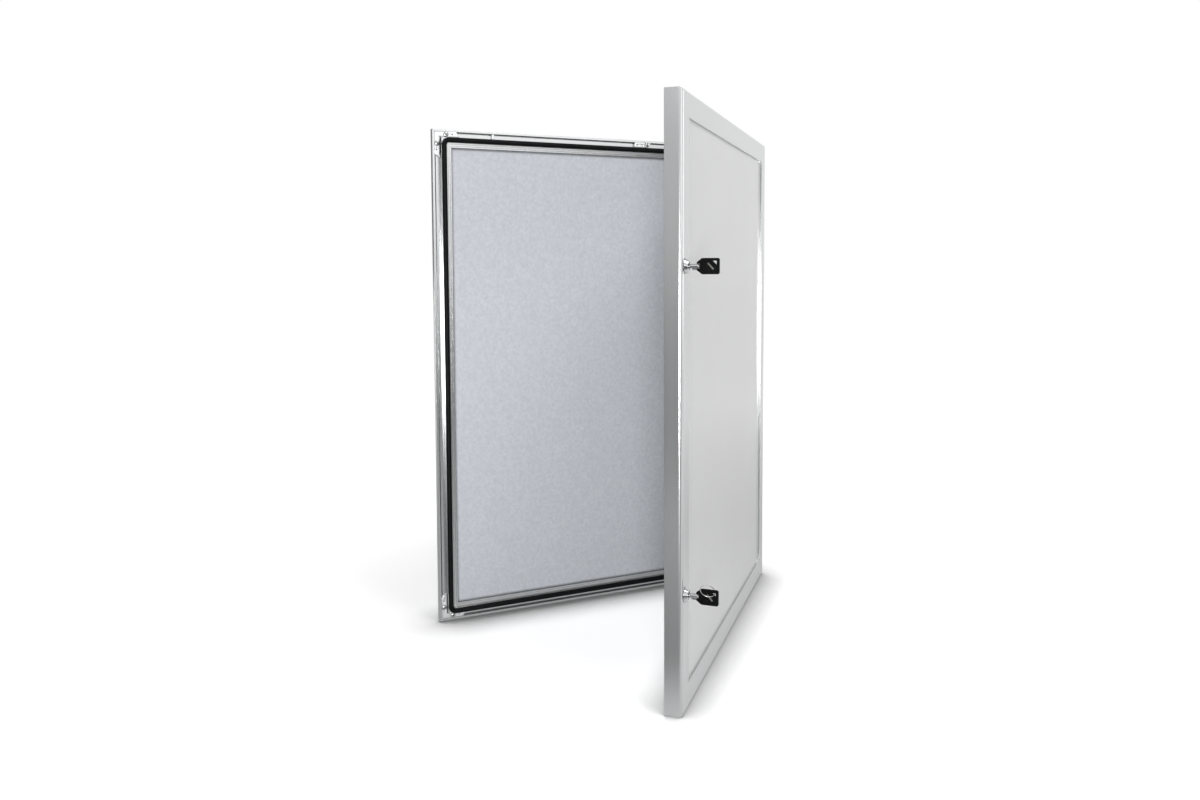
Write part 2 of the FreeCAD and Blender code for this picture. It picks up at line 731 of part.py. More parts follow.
def nut_pattern():
    """The hexagon nut that clamps a barrel behind the door's face."""
    body = new_body("lock_nut_pattern")
    outline = sketch_on(body, "XY_Plane", -S["door_skin"] - 2.5)
    flat = 9.5
    corner = flat / math.cos(math.radians(30))
    draw_outline(outline, ((flat, -corner / 2), (flat, corner / 2), (0, corner),
                           (-flat, corner / 2), (-flat, -corner / 2), (0, -corner)))
    draw_circle(outline, 0, 0, S["barrel_radius"] + 0.05)
    pad(body, outline, 2.5)
    return body


def make_plug(name, place):
    """The turning plug: a ring-shaped keyway in front and a square tail for the cam behind."""
    label = f"{name}_lock_plug"
    body = new_body(label)
    profile = sketch_on(body, "XZ_Plane")
    face = S["collar_height"] - 0.5
    flange = S["plug_radius"] + PLUG_FLANGE
    draw_outline(profile, ((0, CAM_TOP + 0.2), (S["plug_radius"], CAM_TOP + 0.2),
                           (S["plug_radius"], face - 1.5), (flange, face - 1.5), (flange, face),
                           (KEYWAY_OUTER, face), (KEYWAY_OUTER, face - KEYWAY_DEPTH),
                           (KEYWAY_INNER, face - KEYWAY_DEPTH), (KEYWAY_INNER, face - 0.6), (0, face - 0.6)))
    revolve(body, profile)
    notch = sketch_on(body, "XY_Plane", face)
    draw_box(notch, -0.9, KEYWAY_OUTER - 0.6, 0.9, KEYWAY_OUTER + 1.2)
    cut(body, notch, KEYWAY_DEPTH)
    tail = sketch_on(body, "XY_Plane", CAM_TOP - CAM_THICK)
    draw_box(tail, -3.0, -3.0, 3.0, 3.0)
    pad(body, tail, CAM_THICK + 0.3)
    add_node(body, label, place)


def make_cam(name, place):
    """The pressed steel cam: a plate on the plug's tail, a leg towards the case and a hooked foot."""
    label = f"{name}_lock_cam"
    body = new_body(label)
    plate = sketch_on(body, "XY_Plane", CAM_TOP - CAM_THICK)
    draw_circle(plate, 0, 0, 6.6)
    draw_outline(plate, ((-3.05, -3.05), (3.05, -3.05), (3.05, 3.05), (-3.05, 3.05)))
    pad(body, plate, CAM_THICK)
    leg = sketch_on(body, "XY_Plane", -S["door_depth"] + 0.1)
    draw_box(leg, -2.5, -HOOK_RADIUS - 1.0, 2.5, -HOOK_RADIUS + 1.0)
    pad(body, leg, S["door_depth"] - 0.1 + CAM_TOP)
    foot = sketch_on(body, "XY_Plane", -S["door_depth"] + 0.1)
    draw_box(foot, -2.5, -HOOK_TIP, 2.5, -HOOK_RADIUS + 1.0)
    pad(body, foot, 1.5)
    add_node(body, label, place)


def make_shank(name, place):
    """The key's steel tube, with its lug below and a closed round end in the head."""
    label = f"{name}_key_shank"
    body = new_body(label)
    profile = sketch_on(body, "XZ_Plane")
    start = S["collar_height"] - 0.5 - KEYWAY_DEPTH + 0.5
    end = HEAD_START + 4.0
    draw_outline(profile, ((SHANK_INNER, start), (SHANK_OUTER, start), (SHANK_OUTER, end - 1.6),
                           (SHANK_OUTER - 1.6, end), (0, end), (0, start + 9.0), (SHANK_INNER, start + 9.0)))
    revolve(body, profile)
    driver = sketch_on(body, "XY_Plane", start + 0.2)
    draw_box(driver, -0.6, SHANK_OUTER - 0.5, 0.6, SHANK_OUTER + 0.9)
    pad(body, driver, 3.5)
    lug = sketch_on(body, "YZ_Plane")
    draw_outline(lug, ((-SHANK_OUTER + 0.4, 11.2), (-SHANK_OUTER - 1.8, 12.0), (-SHANK_OUTER - 2.4, 13.4),
                       (-SHANK_OUTER - 2.4, HEAD_START - 0.6), (-SHANK_OUTER + 0.4, HEAD_START - 0.6)))
    pad(body, lug, 2.4, symmetric=True)
    add_node(body, label, place)


def make_head(name, place):
    """The moulded key head: a shouldered plate with a notch for the shank and a hole for the ring."""
    label = f"{name}_key_head"
    body = new_body(label)
    plate = sketch_on(body, "YZ_Plane")
    half = HEAD_WIDTH / 2
    neck = 6.4
    end = HEAD_START + HEAD_LENGTH
    draw_outline(plate, ((-neck, HEAD_START), (neck, HEAD_START), (half, HEAD_START + 8.2), (half, end),
                         (-half, end), (-half, HEAD_START + 8.2)))
    pad(body, plate, HEAD_THICK, symmetric=True)
    notch = sketch_on(body, "YZ_Plane")
    draw_box(notch, -SHANK_OUTER - 0.05, HEAD_START - 1.0, SHANK_OUTER + 0.05, HEAD_START + 4.05)
    cut(body, notch)
    soften(body, 3.0, lambda edge: abs(abs(middle(edge).y) - half) < 0.01
           and abs(middle(edge).z - end) < 0.01)
    soften(body, 2.0, lambda edge: abs(abs(middle(edge).y) - half) < 0.01
           and abs(middle(edge).z - HEAD_START - 8.2) < 0.01)
    eye = sketch_on(body, "YZ_Plane")
    side = half - EYE_MARGIN
    top = end - EYE_MARGIN
    draw_outline(eye, ((side, top - EYE_LEG), (side, top), (side - EYE_LEG, top)))
    cut(body, eye)
    bar = sketch_on(body, "YZ_Plane", -HEAD_THICK / 2)
    draw_outline(bar, ((5.95, HEAD_START + 18.4), (4.05, HEAD_START + 16.4),
                       (-5.95, HEAD_START + 25.6), (-4.05, HEAD_START + 27.6)))
    cut(body, bar, 0.4, reverse=True)
    add_node(body, label, place)


RING_SECTION = 0.55
RING_TILT = 22.0


def ring_axes():
    """Centre, radius and turn of the ring, which crosses the head's plane in the eye and past its shoulder."""
    inset = EYE_LEG * (1 - math.sqrt(0.5))
    half = HEAD_WIDTH / 2
    in_eye = Vector(0, half - EYE_MARGIN - inset, HEAD_START + HEAD_LENGTH - EYE_MARGIN - inset)
    past_shoulder = Vector(0, half + 1.3, HEAD_START + 6.9)
    chord = past_shoulder - in_eye
    centre = (in_eye + past_shoulder) * 0.5
    along = Vector(chord).normalize()
    down = Vector(0, along.z, -along.y)
    tilt = math.radians(RING_TILT)
    across = Vector(-math.cos(tilt), 0, 0) + down * math.sin(tilt)
    turn = Rotation(along, across, along.cross(across), "ZXY")
    return centre, chord.Length / 2, turn


def make_ring(place):
    """The split ring of the lower key, its two turns of flat wire pressed together."""
    centre, radius, turn = ring_axes()
    body = new_body("lower_key_ring")
    profile = sketch_on(body, "XZ_Plane")
    wire = RING_SECTION
    low, high = radius - wire, radius + wire
    draw_box(profile, low, -wire, high, wire)
    revolve(body, profile)
    add_node(body, "lower_key_ring", place.multiply(Placement(centre, turn)))


def make_locks():
    """Two cam locks in the lock stile, each with its key in place."""
    for name, height in (("upper", S["upper_lock_z"]), ("lower", S["lower_lock_z"])):
        place = lock_place(height)
        make_plug(name, place)
        make_cam(name, place)
        make_shank(name, place)
        make_head(name, place)
    make_ring(lock_place(S["lower_lock_z"]))
    places = [lock_place(S["upper_lock_z"]), lock_place(S["lower_lock_z"])]
    group_of(barrel_pattern(), "lock_barrels", places)
    group_of(nut_pattern(), "lock_nuts", places)


def check_document():
    """Stop if any object of the document failed, or if a node is empty or not valid."""
    doc.recompute()
    for thing in doc.Objects:
        for word in ("Invalid", "Error"):
            if word in thing.State:
                raise RuntimeError(f"{thing.Name} is {word}")
    for label, thing in nodes.items():
        if thing.Shape.isNull() or not thing.Shape.isValid():
            raise RuntimeError(f"{label} has no valid shape")


def export_nodes():
    """Write one file for each node, and print its volume and its number of solids."""
    os.makedirs("parts", exist_ok=True)
    for label, thing in nodes.items():
        shape = thing.Shape
        shape.exportStep(f"parts/{label}.step")
        print(f"{label}: {len(shape.Solids)} solid, {shape.Volume:.1f} mm3")
    print(f"{len(nodes)} nodes")


make_case_frame()
make_back_sheet()
make_pin_board()
make_gasket()
make_corner_connectors()
make_channel_inserts()
make_door_frame()
make_door_cleats()
make_pane()
make_hinges()
make_locks()
check_document()
export_nodes()
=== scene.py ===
# %% [markdown]
# # A lockable notice board, dressed in Blender
#
# The board is a shallow aluminium case with a felt pin board and a black rubber seal. Its glazed door
# stands open on two hinges, and a key is in each of its two locks. The shapes of the metal parts come
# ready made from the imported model, so this lesson gives them their finishes. It also drills and softens
# the castings, and makes the felt, the seal, the screws, the split ring and the bar in each key head,
# which need finer surfaces than a solid has.

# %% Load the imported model
import json
import math

import bmesh
import bpy
from mathutils import Euler, Matrix, Vector, noise


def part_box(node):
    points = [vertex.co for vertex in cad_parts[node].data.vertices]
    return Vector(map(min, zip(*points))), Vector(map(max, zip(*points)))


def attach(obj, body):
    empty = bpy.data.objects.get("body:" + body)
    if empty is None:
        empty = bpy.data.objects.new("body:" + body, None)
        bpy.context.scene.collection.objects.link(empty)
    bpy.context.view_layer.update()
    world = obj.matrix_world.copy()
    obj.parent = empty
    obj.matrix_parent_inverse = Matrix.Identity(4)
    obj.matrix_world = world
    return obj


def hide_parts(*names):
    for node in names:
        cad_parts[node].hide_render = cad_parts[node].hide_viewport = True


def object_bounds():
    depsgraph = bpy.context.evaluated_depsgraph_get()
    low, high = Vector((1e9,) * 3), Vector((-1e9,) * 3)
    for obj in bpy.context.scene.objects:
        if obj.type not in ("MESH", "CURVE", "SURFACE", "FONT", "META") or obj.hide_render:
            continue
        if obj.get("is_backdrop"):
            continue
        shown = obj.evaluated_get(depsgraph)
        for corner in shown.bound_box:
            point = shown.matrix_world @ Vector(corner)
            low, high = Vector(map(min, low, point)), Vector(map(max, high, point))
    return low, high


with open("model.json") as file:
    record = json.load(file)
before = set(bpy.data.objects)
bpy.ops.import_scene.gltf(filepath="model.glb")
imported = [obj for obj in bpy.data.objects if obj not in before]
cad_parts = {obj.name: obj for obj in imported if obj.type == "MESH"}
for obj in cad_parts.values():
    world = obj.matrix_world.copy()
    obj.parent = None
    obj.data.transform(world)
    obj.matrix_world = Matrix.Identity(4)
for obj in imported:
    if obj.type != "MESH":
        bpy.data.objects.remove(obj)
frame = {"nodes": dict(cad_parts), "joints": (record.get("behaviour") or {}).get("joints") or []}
parts = frame["nodes"]
solid_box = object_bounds()


def rounded(numbers, places=3):
    """Numbers that are short enough to print."""
    return [round(number, places) for number in numbers]


print(len(parts), "parts, from", rounded(solid_box[0]), "to", rounded(solid_box[1]))

# %% [markdown]
# ## Sizes and places
#
# Blender works in metres, and the sizes of the board are easier to read in millimetres, so one constant
# turns them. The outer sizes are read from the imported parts, and the hinge line and the angle of the
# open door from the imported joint, which closes the door at its lower limit. Four sizes are given here as
# they are in the solids: the hinge knuckle's radius, how far the case's lip and the closed door's face
# stand from the wall, and how far the locks stand in from the door's edge.
#
# The case is described from its own edges: `in_case` takes a point measured from the middle of the board
# and a height above the plane of the case's lip. The door has swung open, so `on_door` carries a place
# from the closed door to where the open door holds it.

# %% Sizes and places
MM = 0.001
LOW, HIGH = 0, 1
KNUCKLE_RADIUS = 2.6
LIP_PLANE = 12.0
DOOR_FACE = 38.5
LOCK_INSET = 16.0
joints = {joint["name"]: joint for joint in frame["joints"]}


def reach(node, axis, end=HIGH):
    """Where a part ends along an axis, in millimetres from the middle of the board."""
    return round(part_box(node)[end][axis] / MM, 2)


CASE_HALF_WIDTH = reach("case_rail_right", 0)
CASE_HALF_HEIGHT = reach("case_rail_top", 2)
DOOR_HALF_HEIGHT = reach("door_rail_top", 2)
HINGE_LINE = Vector(joints["door_hinge"]["pos_m"])
OPEN_ANGLE = math.radians(-joints["door_hinge"]["range_deg"][0])
DOOR_HALF_WIDTH = round(HINGE_LINE.x / MM - KNUCKLE_RADIUS, 2)

door_swing = (Matrix.Translation(HINGE_LINE) @ Matrix.Rotation(OPEN_ANGLE, 4, "Z")
              @ Matrix.Translation(-HINGE_LINE))


def in_case(x, above_lip, z):
    """A point of the case, in millimetres from the middle of the board and from the plane of its lip."""
    return Vector((x, -(LIP_PLANE + above_lip), z)) * MM


def facing_front(x, forward, z):
    """A place with x to the right, y up and z towards the room."""
    return Matrix.Translation(Vector((x, -forward, z)) * MM) @ Matrix.Rotation(math.radians(90), 4, "X")


def on_door(x, forward, z):
    """The same place on the door, carried to where the open door holds it."""
    return door_swing @ facing_front(x, forward, z)


lock_heights = {name: joints[f"{name}_lock_turn"]["pos_m"][2] / MM for name in ("upper", "lower")}
lock_places = {name: on_door(-DOOR_HALF_WIDTH + LOCK_INSET, DOOR_FACE, height)
               for name, height in lock_heights.items()}
print("case", CASE_HALF_WIDTH * 2, "by", CASE_HALF_HEIGHT * 2, "mm, door",
      DOOR_HALF_WIDTH * 2, "by", DOOR_HALF_HEIGHT * 2)
for name, place in lock_places.items():
    print(name, "lock at", rounded(place.translation, 4))

# %% [markdown]
# ## Camera
#
# The photograph was taken from the left, a little above the middle of the board. The camera's place,
# its turn and its lens were found from the corners of the case and the door. A small downward shift
# keeps the upright edges as straight as they are in the picture.

# %% Camera
CAMERA_PLACE = (-0.8294, -1.8257, 0.2240)
CAMERA_TURN = (86.4026, 0.2717, -24.3056)


def link(thing):
    """Put an object in the scene."""
    bpy.context.scene.collection.objects.link(thing)
    return thing


camera_data = bpy.data.cameras.new("Camera")
camera_data.sensor_width = 36.0
camera_data.lens = 27.687
camera_data.shift_y = -0.0628
camera_data.clip_start = 0.05
camera = link(bpy.data.objects.new("Camera", camera_data))
camera.location = CAMERA_PLACE
camera.rotation_euler = [math.radians(angle) for angle in CAMERA_TURN]
bpy.context.scene.camera = camera
bpy.context.scene.view_settings.view_transform = "Standard"
print("lens", camera_data.lens, "mm, shift", camera_data.shift_y)

# %% [markdown]
# ## A short way to build node trees
#
# A finish is a small graph of nodes. Writing each node and link by hand hides what a finish does, so
# `add` makes a node and sets its inputs by name in one line. An input can be a number, a colour or
# another node's output, and `feed` links or fills it as needed. The other helpers are the few steps that
# every finish takes: arithmetic on values and vectors, blending two colours, mapping a range of values
# onto another, and noise. The Mix node keeps sockets for numbers, vectors and colours side by side, so
# those of its colours are picked by their number.

# %% Helpers for node trees
MIX_FACTOR, MIX_FIRST, MIX_SECOND, MIX_RESULT = 0, 6, 7, 2


def rgb(red, green=None, blue=None):
    """A full colour. One number alone makes a grey."""
    if green is None:
        green = blue = red
    return red, green, blue, 1.0


def feed(tree, socket, value):
    """Link an output to this socket, or write a plain value in it."""
    if isinstance(value, bpy.types.NodeSocket):
        tree.links.new(value, socket)
    else:
        socket.default_value = value


def add(tree, kind, settings=None, **inputs):
    """Add a node. settings are its own properties, and inputs are named with _ for a space."""
    made = tree.nodes.new(kind)
    for name, value in (settings or {}).items():
        setattr(made, name, value)
    for name, value in inputs.items():
        feed(tree, made.inputs[name.replace("_", " ")], value)
    return made


def maths(tree, operation, first, second=0.0, clamp=False):
    """One step of arithmetic on values."""
    made = add(tree, "ShaderNodeMath", {"operation": operation, "use_clamp": clamp})
    feed(tree, made.inputs[0], first)
    feed(tree, made.inputs[1], second)
    return made.outputs[0]


def vector_maths(tree, operation, first, second=(0.0, 0.0, 0.0)):
    """One step of arithmetic on vectors. Its results are called Vector and Value."""
    made = add(tree, "ShaderNodeVectorMath", {"operation": operation})
    feed(tree, made.inputs[0], first)
    feed(tree, made.inputs[1], second)
    return made.outputs


def mix_colour(tree, factor, first, second):
    """Blend two colours by a factor."""
    made = add(tree, "ShaderNodeMix", {"data_type": "RGBA"})
    feed(tree, made.inputs[MIX_FACTOR], factor)
    feed(tree, made.inputs[MIX_FIRST], first)
    feed(tree, made.inputs[MIX_SECOND], second)
    return made.outputs[MIX_RESULT]


def stretch(tree, value, low, high, new_low, new_high):
    """Map a range of values onto another, and clamp what falls outside."""
    made = add(tree, "ShaderNodeMapRange", Value=value, From_Min=low, From_Max=high,
               To_Min=new_low, To_Max=new_high)
    return made.outputs[0]


def speckle(tree, place, scale, detail=2.0, roughness=0.5):
    """Noise from 0 to 1: finer with a larger scale, richer with more detail."""
    made = add(tree, "ShaderNodeTexNoise", Vector=place, Scale=scale, Detail=detail, Roughness=roughness)
    return made.outputs["Fac"]


def new_group(name, inputs, outputs):
    """A shader node group with named sockets. Returns the group, what comes in and where it goes out."""
    group = bpy.data.node_groups.new(name, "ShaderNodeTree")
    for label, kind, value in inputs:
        socket = group.interface.new_socket(label, in_out="INPUT", socket_type=kind)
        if value is not None:
            socket.default_value = value
    for label, kind in outputs:
        group.interface.new_socket(label, in_out="OUTPUT", socket_type=kind)
    entry = group.nodes.new("NodeGroupInput")
    leave = group.nodes.new("NodeGroupOutput")
    return group, entry.outputs, leave.inputs


def use(tree, group, **inputs):
    """Place a shared group in a material and set its inputs."""
    return add(tree, "ShaderNodeGroup", {"node_tree": group}, **inputs).outputs


NUMBER, TRIPLE = "NodeSocketFloat", "NodeSocketVector"
print("helpers ready")

# %% [markdown]
# ## Effects that several finishes share
#
# Extruded and drawn metal carries very fine lines along its length, every handled edge is a little
# brighter and rounder than a drawing says, dust settles on what faces up, corners get a painted shade,
# and no surface is the same shade all over. Each of these is one node group, built once. A group gives out
# only a value or a normal, and each material decides what to do with it.

# %% Drawn lines
drawn_lines, given, result = new_group(
    "Drawn lines",
    (("Vector", TRIPLE, None), ("Across", NUMBER, 900.0), ("Along", NUMBER, 6.0)),
    (("Value", NUMBER),))
scale = add(drawn_lines, "ShaderNodeCombineXYZ", X=given["Across"], Y=given["Across"], Z=given["Along"])
spread = vector_maths(drawn_lines, "MULTIPLY", given["Vector"], scale.outputs[0])["Vector"]
feed(drawn_lines, result["Value"], speckle(drawn_lines, spread, 1.0, 3.0, 0.6))
print("drawn lines: noise pulled out along a rail")

# %% Worn edges
worn_edges, given, result = new_group(
    "Worn edges",
    (("Radius", NUMBER, 0.0006), ("Strength", NUMBER, 6.0)),
    (("Edge", NUMBER), ("Normal", TRIPLE)))
rounding = add(worn_edges, "ShaderNodeBevel", {"samples": 4}, Radius=given["Radius"]).outputs[0]
flat = add(worn_edges, "ShaderNodeNewGeometry").outputs["Normal"]
agreement = vector_maths(worn_edges, "DOT_PRODUCT", rounding, flat)["Value"]
bend = maths(worn_edges, "SUBTRACT", 1.0, agreement)
feed(worn_edges, result["Edge"], maths(worn_edges, "MULTIPLY", bend, given["Strength"], clamp=True))
feed(worn_edges, result["Normal"], rounding)
print("worn edges: a rounded normal, and a mask of where it bends")

# %% Clouds of tone
clouds, given, result = new_group(
    "Clouds of tone",
    (("Vector", TRIPLE, None), ("Scale", NUMBER, 12.0), ("Low", NUMBER, 0.35), ("High", NUMBER, 0.65)),
    (("Value", NUMBER),))
drift = speckle(clouds, given["Vector"], given["Scale"], 4.0, 0.55)
feed(clouds, result["Value"], stretch(clouds, drift, given["Low"], given["High"], 0.0, 1.0))
print("clouds: slow changes of tone")

# %% Settled dust
settled_dust, given, result = new_group(
    "Settled dust",
    (("Vector", TRIPLE, None), ("Amount", NUMBER, 0.5)),
    (("Value", NUMBER),))
normal = add(settled_dust, "ShaderNodeNewGeometry").outputs["Normal"]
upward = add(settled_dust, "ShaderNodeSeparateXYZ", Vector=normal).outputs["Z"]
facing_up = stretch(settled_dust, upward, 0.25, 0.95, 0.0, 1.0)
grains = stretch(settled_dust, speckle(settled_dust, given["Vector"], 900.0), 0.4, 0.7, 0.35, 1.0)
layer = maths(settled_dust, "MULTIPLY", facing_up, grains)
feed(settled_dust, result["Value"], maths(settled_dust, "MULTIPLY", layer, given["Amount"], clamp=True))
print("dust: only on what faces up")

# %% Painted shade in corners
painted_corner_shade, given, result = new_group(
    "Painted shade in corners",
    (("Distance", NUMBER, 0.003), ("Strength", NUMBER, 1.0)),
    (("Value", NUMBER),))
# A mask for painted shade: it is strongest in sheltered corners, and each finish darkens its colour by it.
shelter = add(painted_corner_shade, "ShaderNodeAmbientOcclusion", {"samples": 6}, Distance=given["Distance"])
painted_shade = maths(painted_corner_shade, "SUBTRACT", 1.0, shelter.outputs["AO"])
feed(painted_corner_shade, result["Value"], maths(painted_corner_shade, "MULTIPLY", painted_shade, given["Strength"], clamp=True))
print("grime: a mask of sheltered corners")

# %% [markdown]
# ## Starting a finish
#
# Every finish reads Object coordinates, which for these parts are metres in the board's own frame, so a
# pattern has its real size and stays on the part when the door moves. `new_finish` starts a material and
# hands back its tree, its shader and those coordinates, turned if the part's grain runs another way.
# `set_look` ends it: it fills the shader's own sockets, with a plain number where the surface is the same
# all over and with an output where it varies.


# %% Starting a finish
def new_finish(name, turn=(0.0, 0.0, 0.0)):
    """A material with its tree, its shader and Object coordinates turned by these degrees."""
    material = bpy.data.materials.new(name)
    material.use_nodes = True
    tree = material.node_tree
    shader = tree.nodes["Principled BSDF"]
    place = add(tree, "ShaderNodeTexCoord").outputs["Object"]
    turned = add(tree, "ShaderNodeMapping", Vector=place, Rotation=[math.radians(angle) for angle in turn])
    return material, tree, shader, turned.outputs[0]


def relief(tree, height, depth, strength, normal=None):
    """A bump of this real depth in metres, on top of another normal where there is one."""
    bump = add(tree, "ShaderNodeBump", Height=height, Distance=depth, Strength=strength)
    if normal is not None:
        feed(tree, bump.inputs["Normal"], normal)
    return bump.outputs[0]


def set_look(tree, shader, **inputs):
    """Fill the shader's inputs, which are named with _ for a space."""
    for name, value in inputs.items():
        feed(tree, shader.inputs[name.replace("_", " ")], value)


def paint(material, *names):
    """Give CAD parts this finish in place of the plain one they came with."""
    for name in names:
        slots = parts[name].material_slots
        for slot in slots:
            slot.material = material
        if not slots:
            parts[name].data.materials.append(material)


print("ready for finishes")

# %% [markdown]
# ## Satin aluminium
#
# The frames are extruded aluminium with a natural satin anodised finish. The oxide layer is slightly
# milky, so it is part mirror and part powder: the shader gets a high but not full metallic value and a
# roughness that is low but far from a mirror's. Etching before the anodising leaves a fine grain that
# covers the draw lines almost completely, so the lines are faint and the grain is stronger. The lines run
# along each rail, so the same finish is made four times: upright or level, on the case and on the door,
# which is turned by its opening.

# %% Satin aluminium
LEVEL = 90
DOOR_TURN = -round(math.degrees(OPEN_ANGLE), 3)


def satin_aluminium(name, turn):
    """Aluminium whose draw lines run along a rail that is turned by these degrees."""
    material, tree, shader, place = new_finish(name, turn)
    lines = use(tree, drawn_lines, Vector=place, Across=1400.0, Along=4.0)["Value"]
    etched = speckle(tree, place, 1600.0, 3.0, 0.7)
    broad = use(tree, clouds, Vector=place, Scale=5.0, Low=0.3, High=0.7)["Value"]
    edges = use(tree, worn_edges, Radius=0.0005, Strength=5.0)
    dust = use(tree, settled_dust, Vector=place, Amount=0.25)["Value"]
    shade_in_corners = use(tree, painted_corner_shade, Distance=0.003, Strength=0.6)["Value"]
    grain = stretch(tree, etched, 0.3, 0.7, 0.0, 1.0)
    tone = mix_colour(tree, grain, rgb(0.52, 0.53, 0.532), rgb(0.58, 0.59, 0.592))
    tone = mix_colour(tree, stretch(tree, lines, 0.3, 0.7, 0.0, 0.3), tone, rgb(0.515, 0.525, 0.53))
    tone = mix_colour(tree, maths(tree, "MULTIPLY", broad, 0.2), tone, rgb(0.505, 0.515, 0.525))
    tone = mix_colour(tree, maths(tree, "MULTIPLY", edges["Edge"], 0.5), tone, rgb(0.78))
    # Painted shade in the corners of the rails.
    tone = mix_colour(tree, shade_in_corners, tone, rgb(0.20))
    tone = mix_colour(tree, dust, tone, rgb(0.62, 0.61, 0.59))
    rough = stretch(tree, etched, 0.2, 0.8, 0.19, 0.26)
    rough = maths(tree, "ADD", rough, maths(tree, "MULTIPLY", dust, 0.3), clamp=True)
    skin = maths(tree, "ADD", etched, maths(tree, "MULTIPLY", lines, 0.4))
    set_look(tree, shader, Base_Color=tone, Metallic=0.84, Roughness=rough,
             Normal=relief(tree, skin, 0.00001, 0.4, edges["Normal"]))
    return material


upright_case = satin_aluminium("Satin aluminium, upright on the case", (0, 0, 0))
level_case = satin_aluminium("Satin aluminium, level on the case", (0, LEVEL, 0))
upright_door = satin_aluminium("Satin aluminium, upright on the door", (0, 0, DOOR_TURN))
level_door = satin_aluminium("Satin aluminium, level on the door", (0, LEVEL, DOOR_TURN))

paint(upright_case, "case_rail_left", "case_rail_right", "upper_hinge_case_leaf", "lower_hinge_case_leaf")
paint(level_case, "case_rail_top", "case_rail_bottom")
paint(upright_door, "door_stile_lock", "door_stile_hinge", "upper_hinge_door_leaf", "lower_hinge_door_leaf")
paint(level_door, "door_rail_top", "door_rail_bottom")
print("aluminium on the rails, stiles and hinge leaves")

# %% [markdown]
# ## Zinc-coated steel and soft board
#
# The back of the case is a thin steel sheet. Hot zinc freezes on it in flat crystals, each a slightly
# different grey, which Voronoi cells show well. The pin board behind the felt is pressed wood fibre:
# brown, matt and hairy, so one noise makes its flakes, and another that is stretched makes its fibres.

# %% Zinc sheet
CRYSTALS_PER_METRE = 90.0
zinc_sheet, tree, shader, place = new_finish("Zinc-coated steel sheet")
wander = add(tree, "ShaderNodeTexNoise", Vector=place, Scale=60.0, Detail=2.0)
bent = mix_colour(tree, 0.02, place, wander.outputs["Color"])
crystals = add(tree, "ShaderNodeTexVoronoi", Vector=bent, Scale=CRYSTALS_PER_METRE)
shade = add(tree, "ShaderNodeSeparateColor", Color=crystals.outputs["Color"])
tone = mix_colour(tree, shade.outputs[0], rgb(0.42, 0.44, 0.46), rgb(0.62, 0.64, 0.66))
streaks = use(tree, drawn_lines, Vector=place, Across=700.0, Along=9.0)["Value"]
tone = mix_colour(tree, stretch(tree, streaks, 0.5, 0.8, 0.0, 0.25), tone, rgb(0.70, 0.71, 0.72))
rough = stretch(tree, shade.outputs[1], 0.0, 1.0, 0.30, 0.48)
edges = use(tree, worn_edges, Radius=0.0004, Strength=5.0)
set_look(tree, shader, Base_Color=tone, Metallic=0.9, Roughness=rough,
         Normal=relief(tree, shade.outputs[2], 0.00003, 0.4, edges["Normal"]))
paint(zinc_sheet, "back_sheet")
print("crystals about", round(1 / MM / CRYSTALS_PER_METRE), "mm wide on the back sheet")

# %% Soft board
soft_board, tree, shader, place = new_finish("Pressed fibre board")
flakes = speckle(tree, place, 350.0, 5.0, 0.7)
hairs = use(tree, drawn_lines, Vector=place, Across=1500.0, Along=120.0)["Value"]
tone = mix_colour(tree, flakes, rgb(0.20, 0.13, 0.075), rgb(0.46, 0.34, 0.22))
tone = mix_colour(tree, stretch(tree, hairs, 0.55, 0.75, 0.0, 0.6), tone, rgb(0.60, 0.48, 0.34))
fibres = maths(tree, "ADD", flakes, hairs)
set_look(tree, shader, Base_Color=tone, Roughness=0.95, Normal=relief(tree, fibres, 0.0003, 0.8))
paint(soft_board, "pin_board_core")
print("fibre board behind the felt")

# %% [markdown]
# ## Cast zinc, steel, chrome and brass
#
# The corner connectors and cleats are die cast, with a fine sandy skin that is polished where a hand or
# a tool has touched it, and a painted shade in their corners. Cams, pins and screws are bright plated
# steel, the locks are chromed brass with very fine hairlines that break the reflection, and the clamping
# nuts behind the door are left as plain brass. All of these get a painted shade in their crevices.

# %% Cast zinc
CORNERS = {"bottom_left": (-1, -1), "bottom_right": (1, -1), "top_right": (1, 1), "top_left": (-1, 1)}
cast_zinc, tree, shader, place = new_finish("Die-cast zinc")
sand = speckle(tree, place, 2200.0, 3.0, 0.6)
patches = use(tree, clouds, Vector=place, Scale=120.0)["Value"]
edges = use(tree, worn_edges, Radius=0.0005, Strength=7.0)
shade_in_corners = use(tree, painted_corner_shade, Distance=0.002, Strength=1.8)["Value"]
tone = mix_colour(tree, patches, rgb(0.74, 0.75, 0.76), rgb(0.84, 0.845, 0.85))
tone = mix_colour(tree, edges["Edge"], tone, rgb(0.93))
# Painted shade in the corners of the castings.
tone = mix_colour(tree, shade_in_corners, tone, rgb(0.10))
set_look(tree, shader, Base_Color=tone, Metallic=0.8, Roughness=stretch(tree, sand, 0.3, 0.7, 0.28, 0.42),
         Normal=relief(tree, sand, 0.00004, 0.5, edges["Normal"]))
paint(cast_zinc, "channel_clip", *(f"door_cleat_{corner}" for corner in CORNERS))
print("cast zinc on the cleats and the clip")


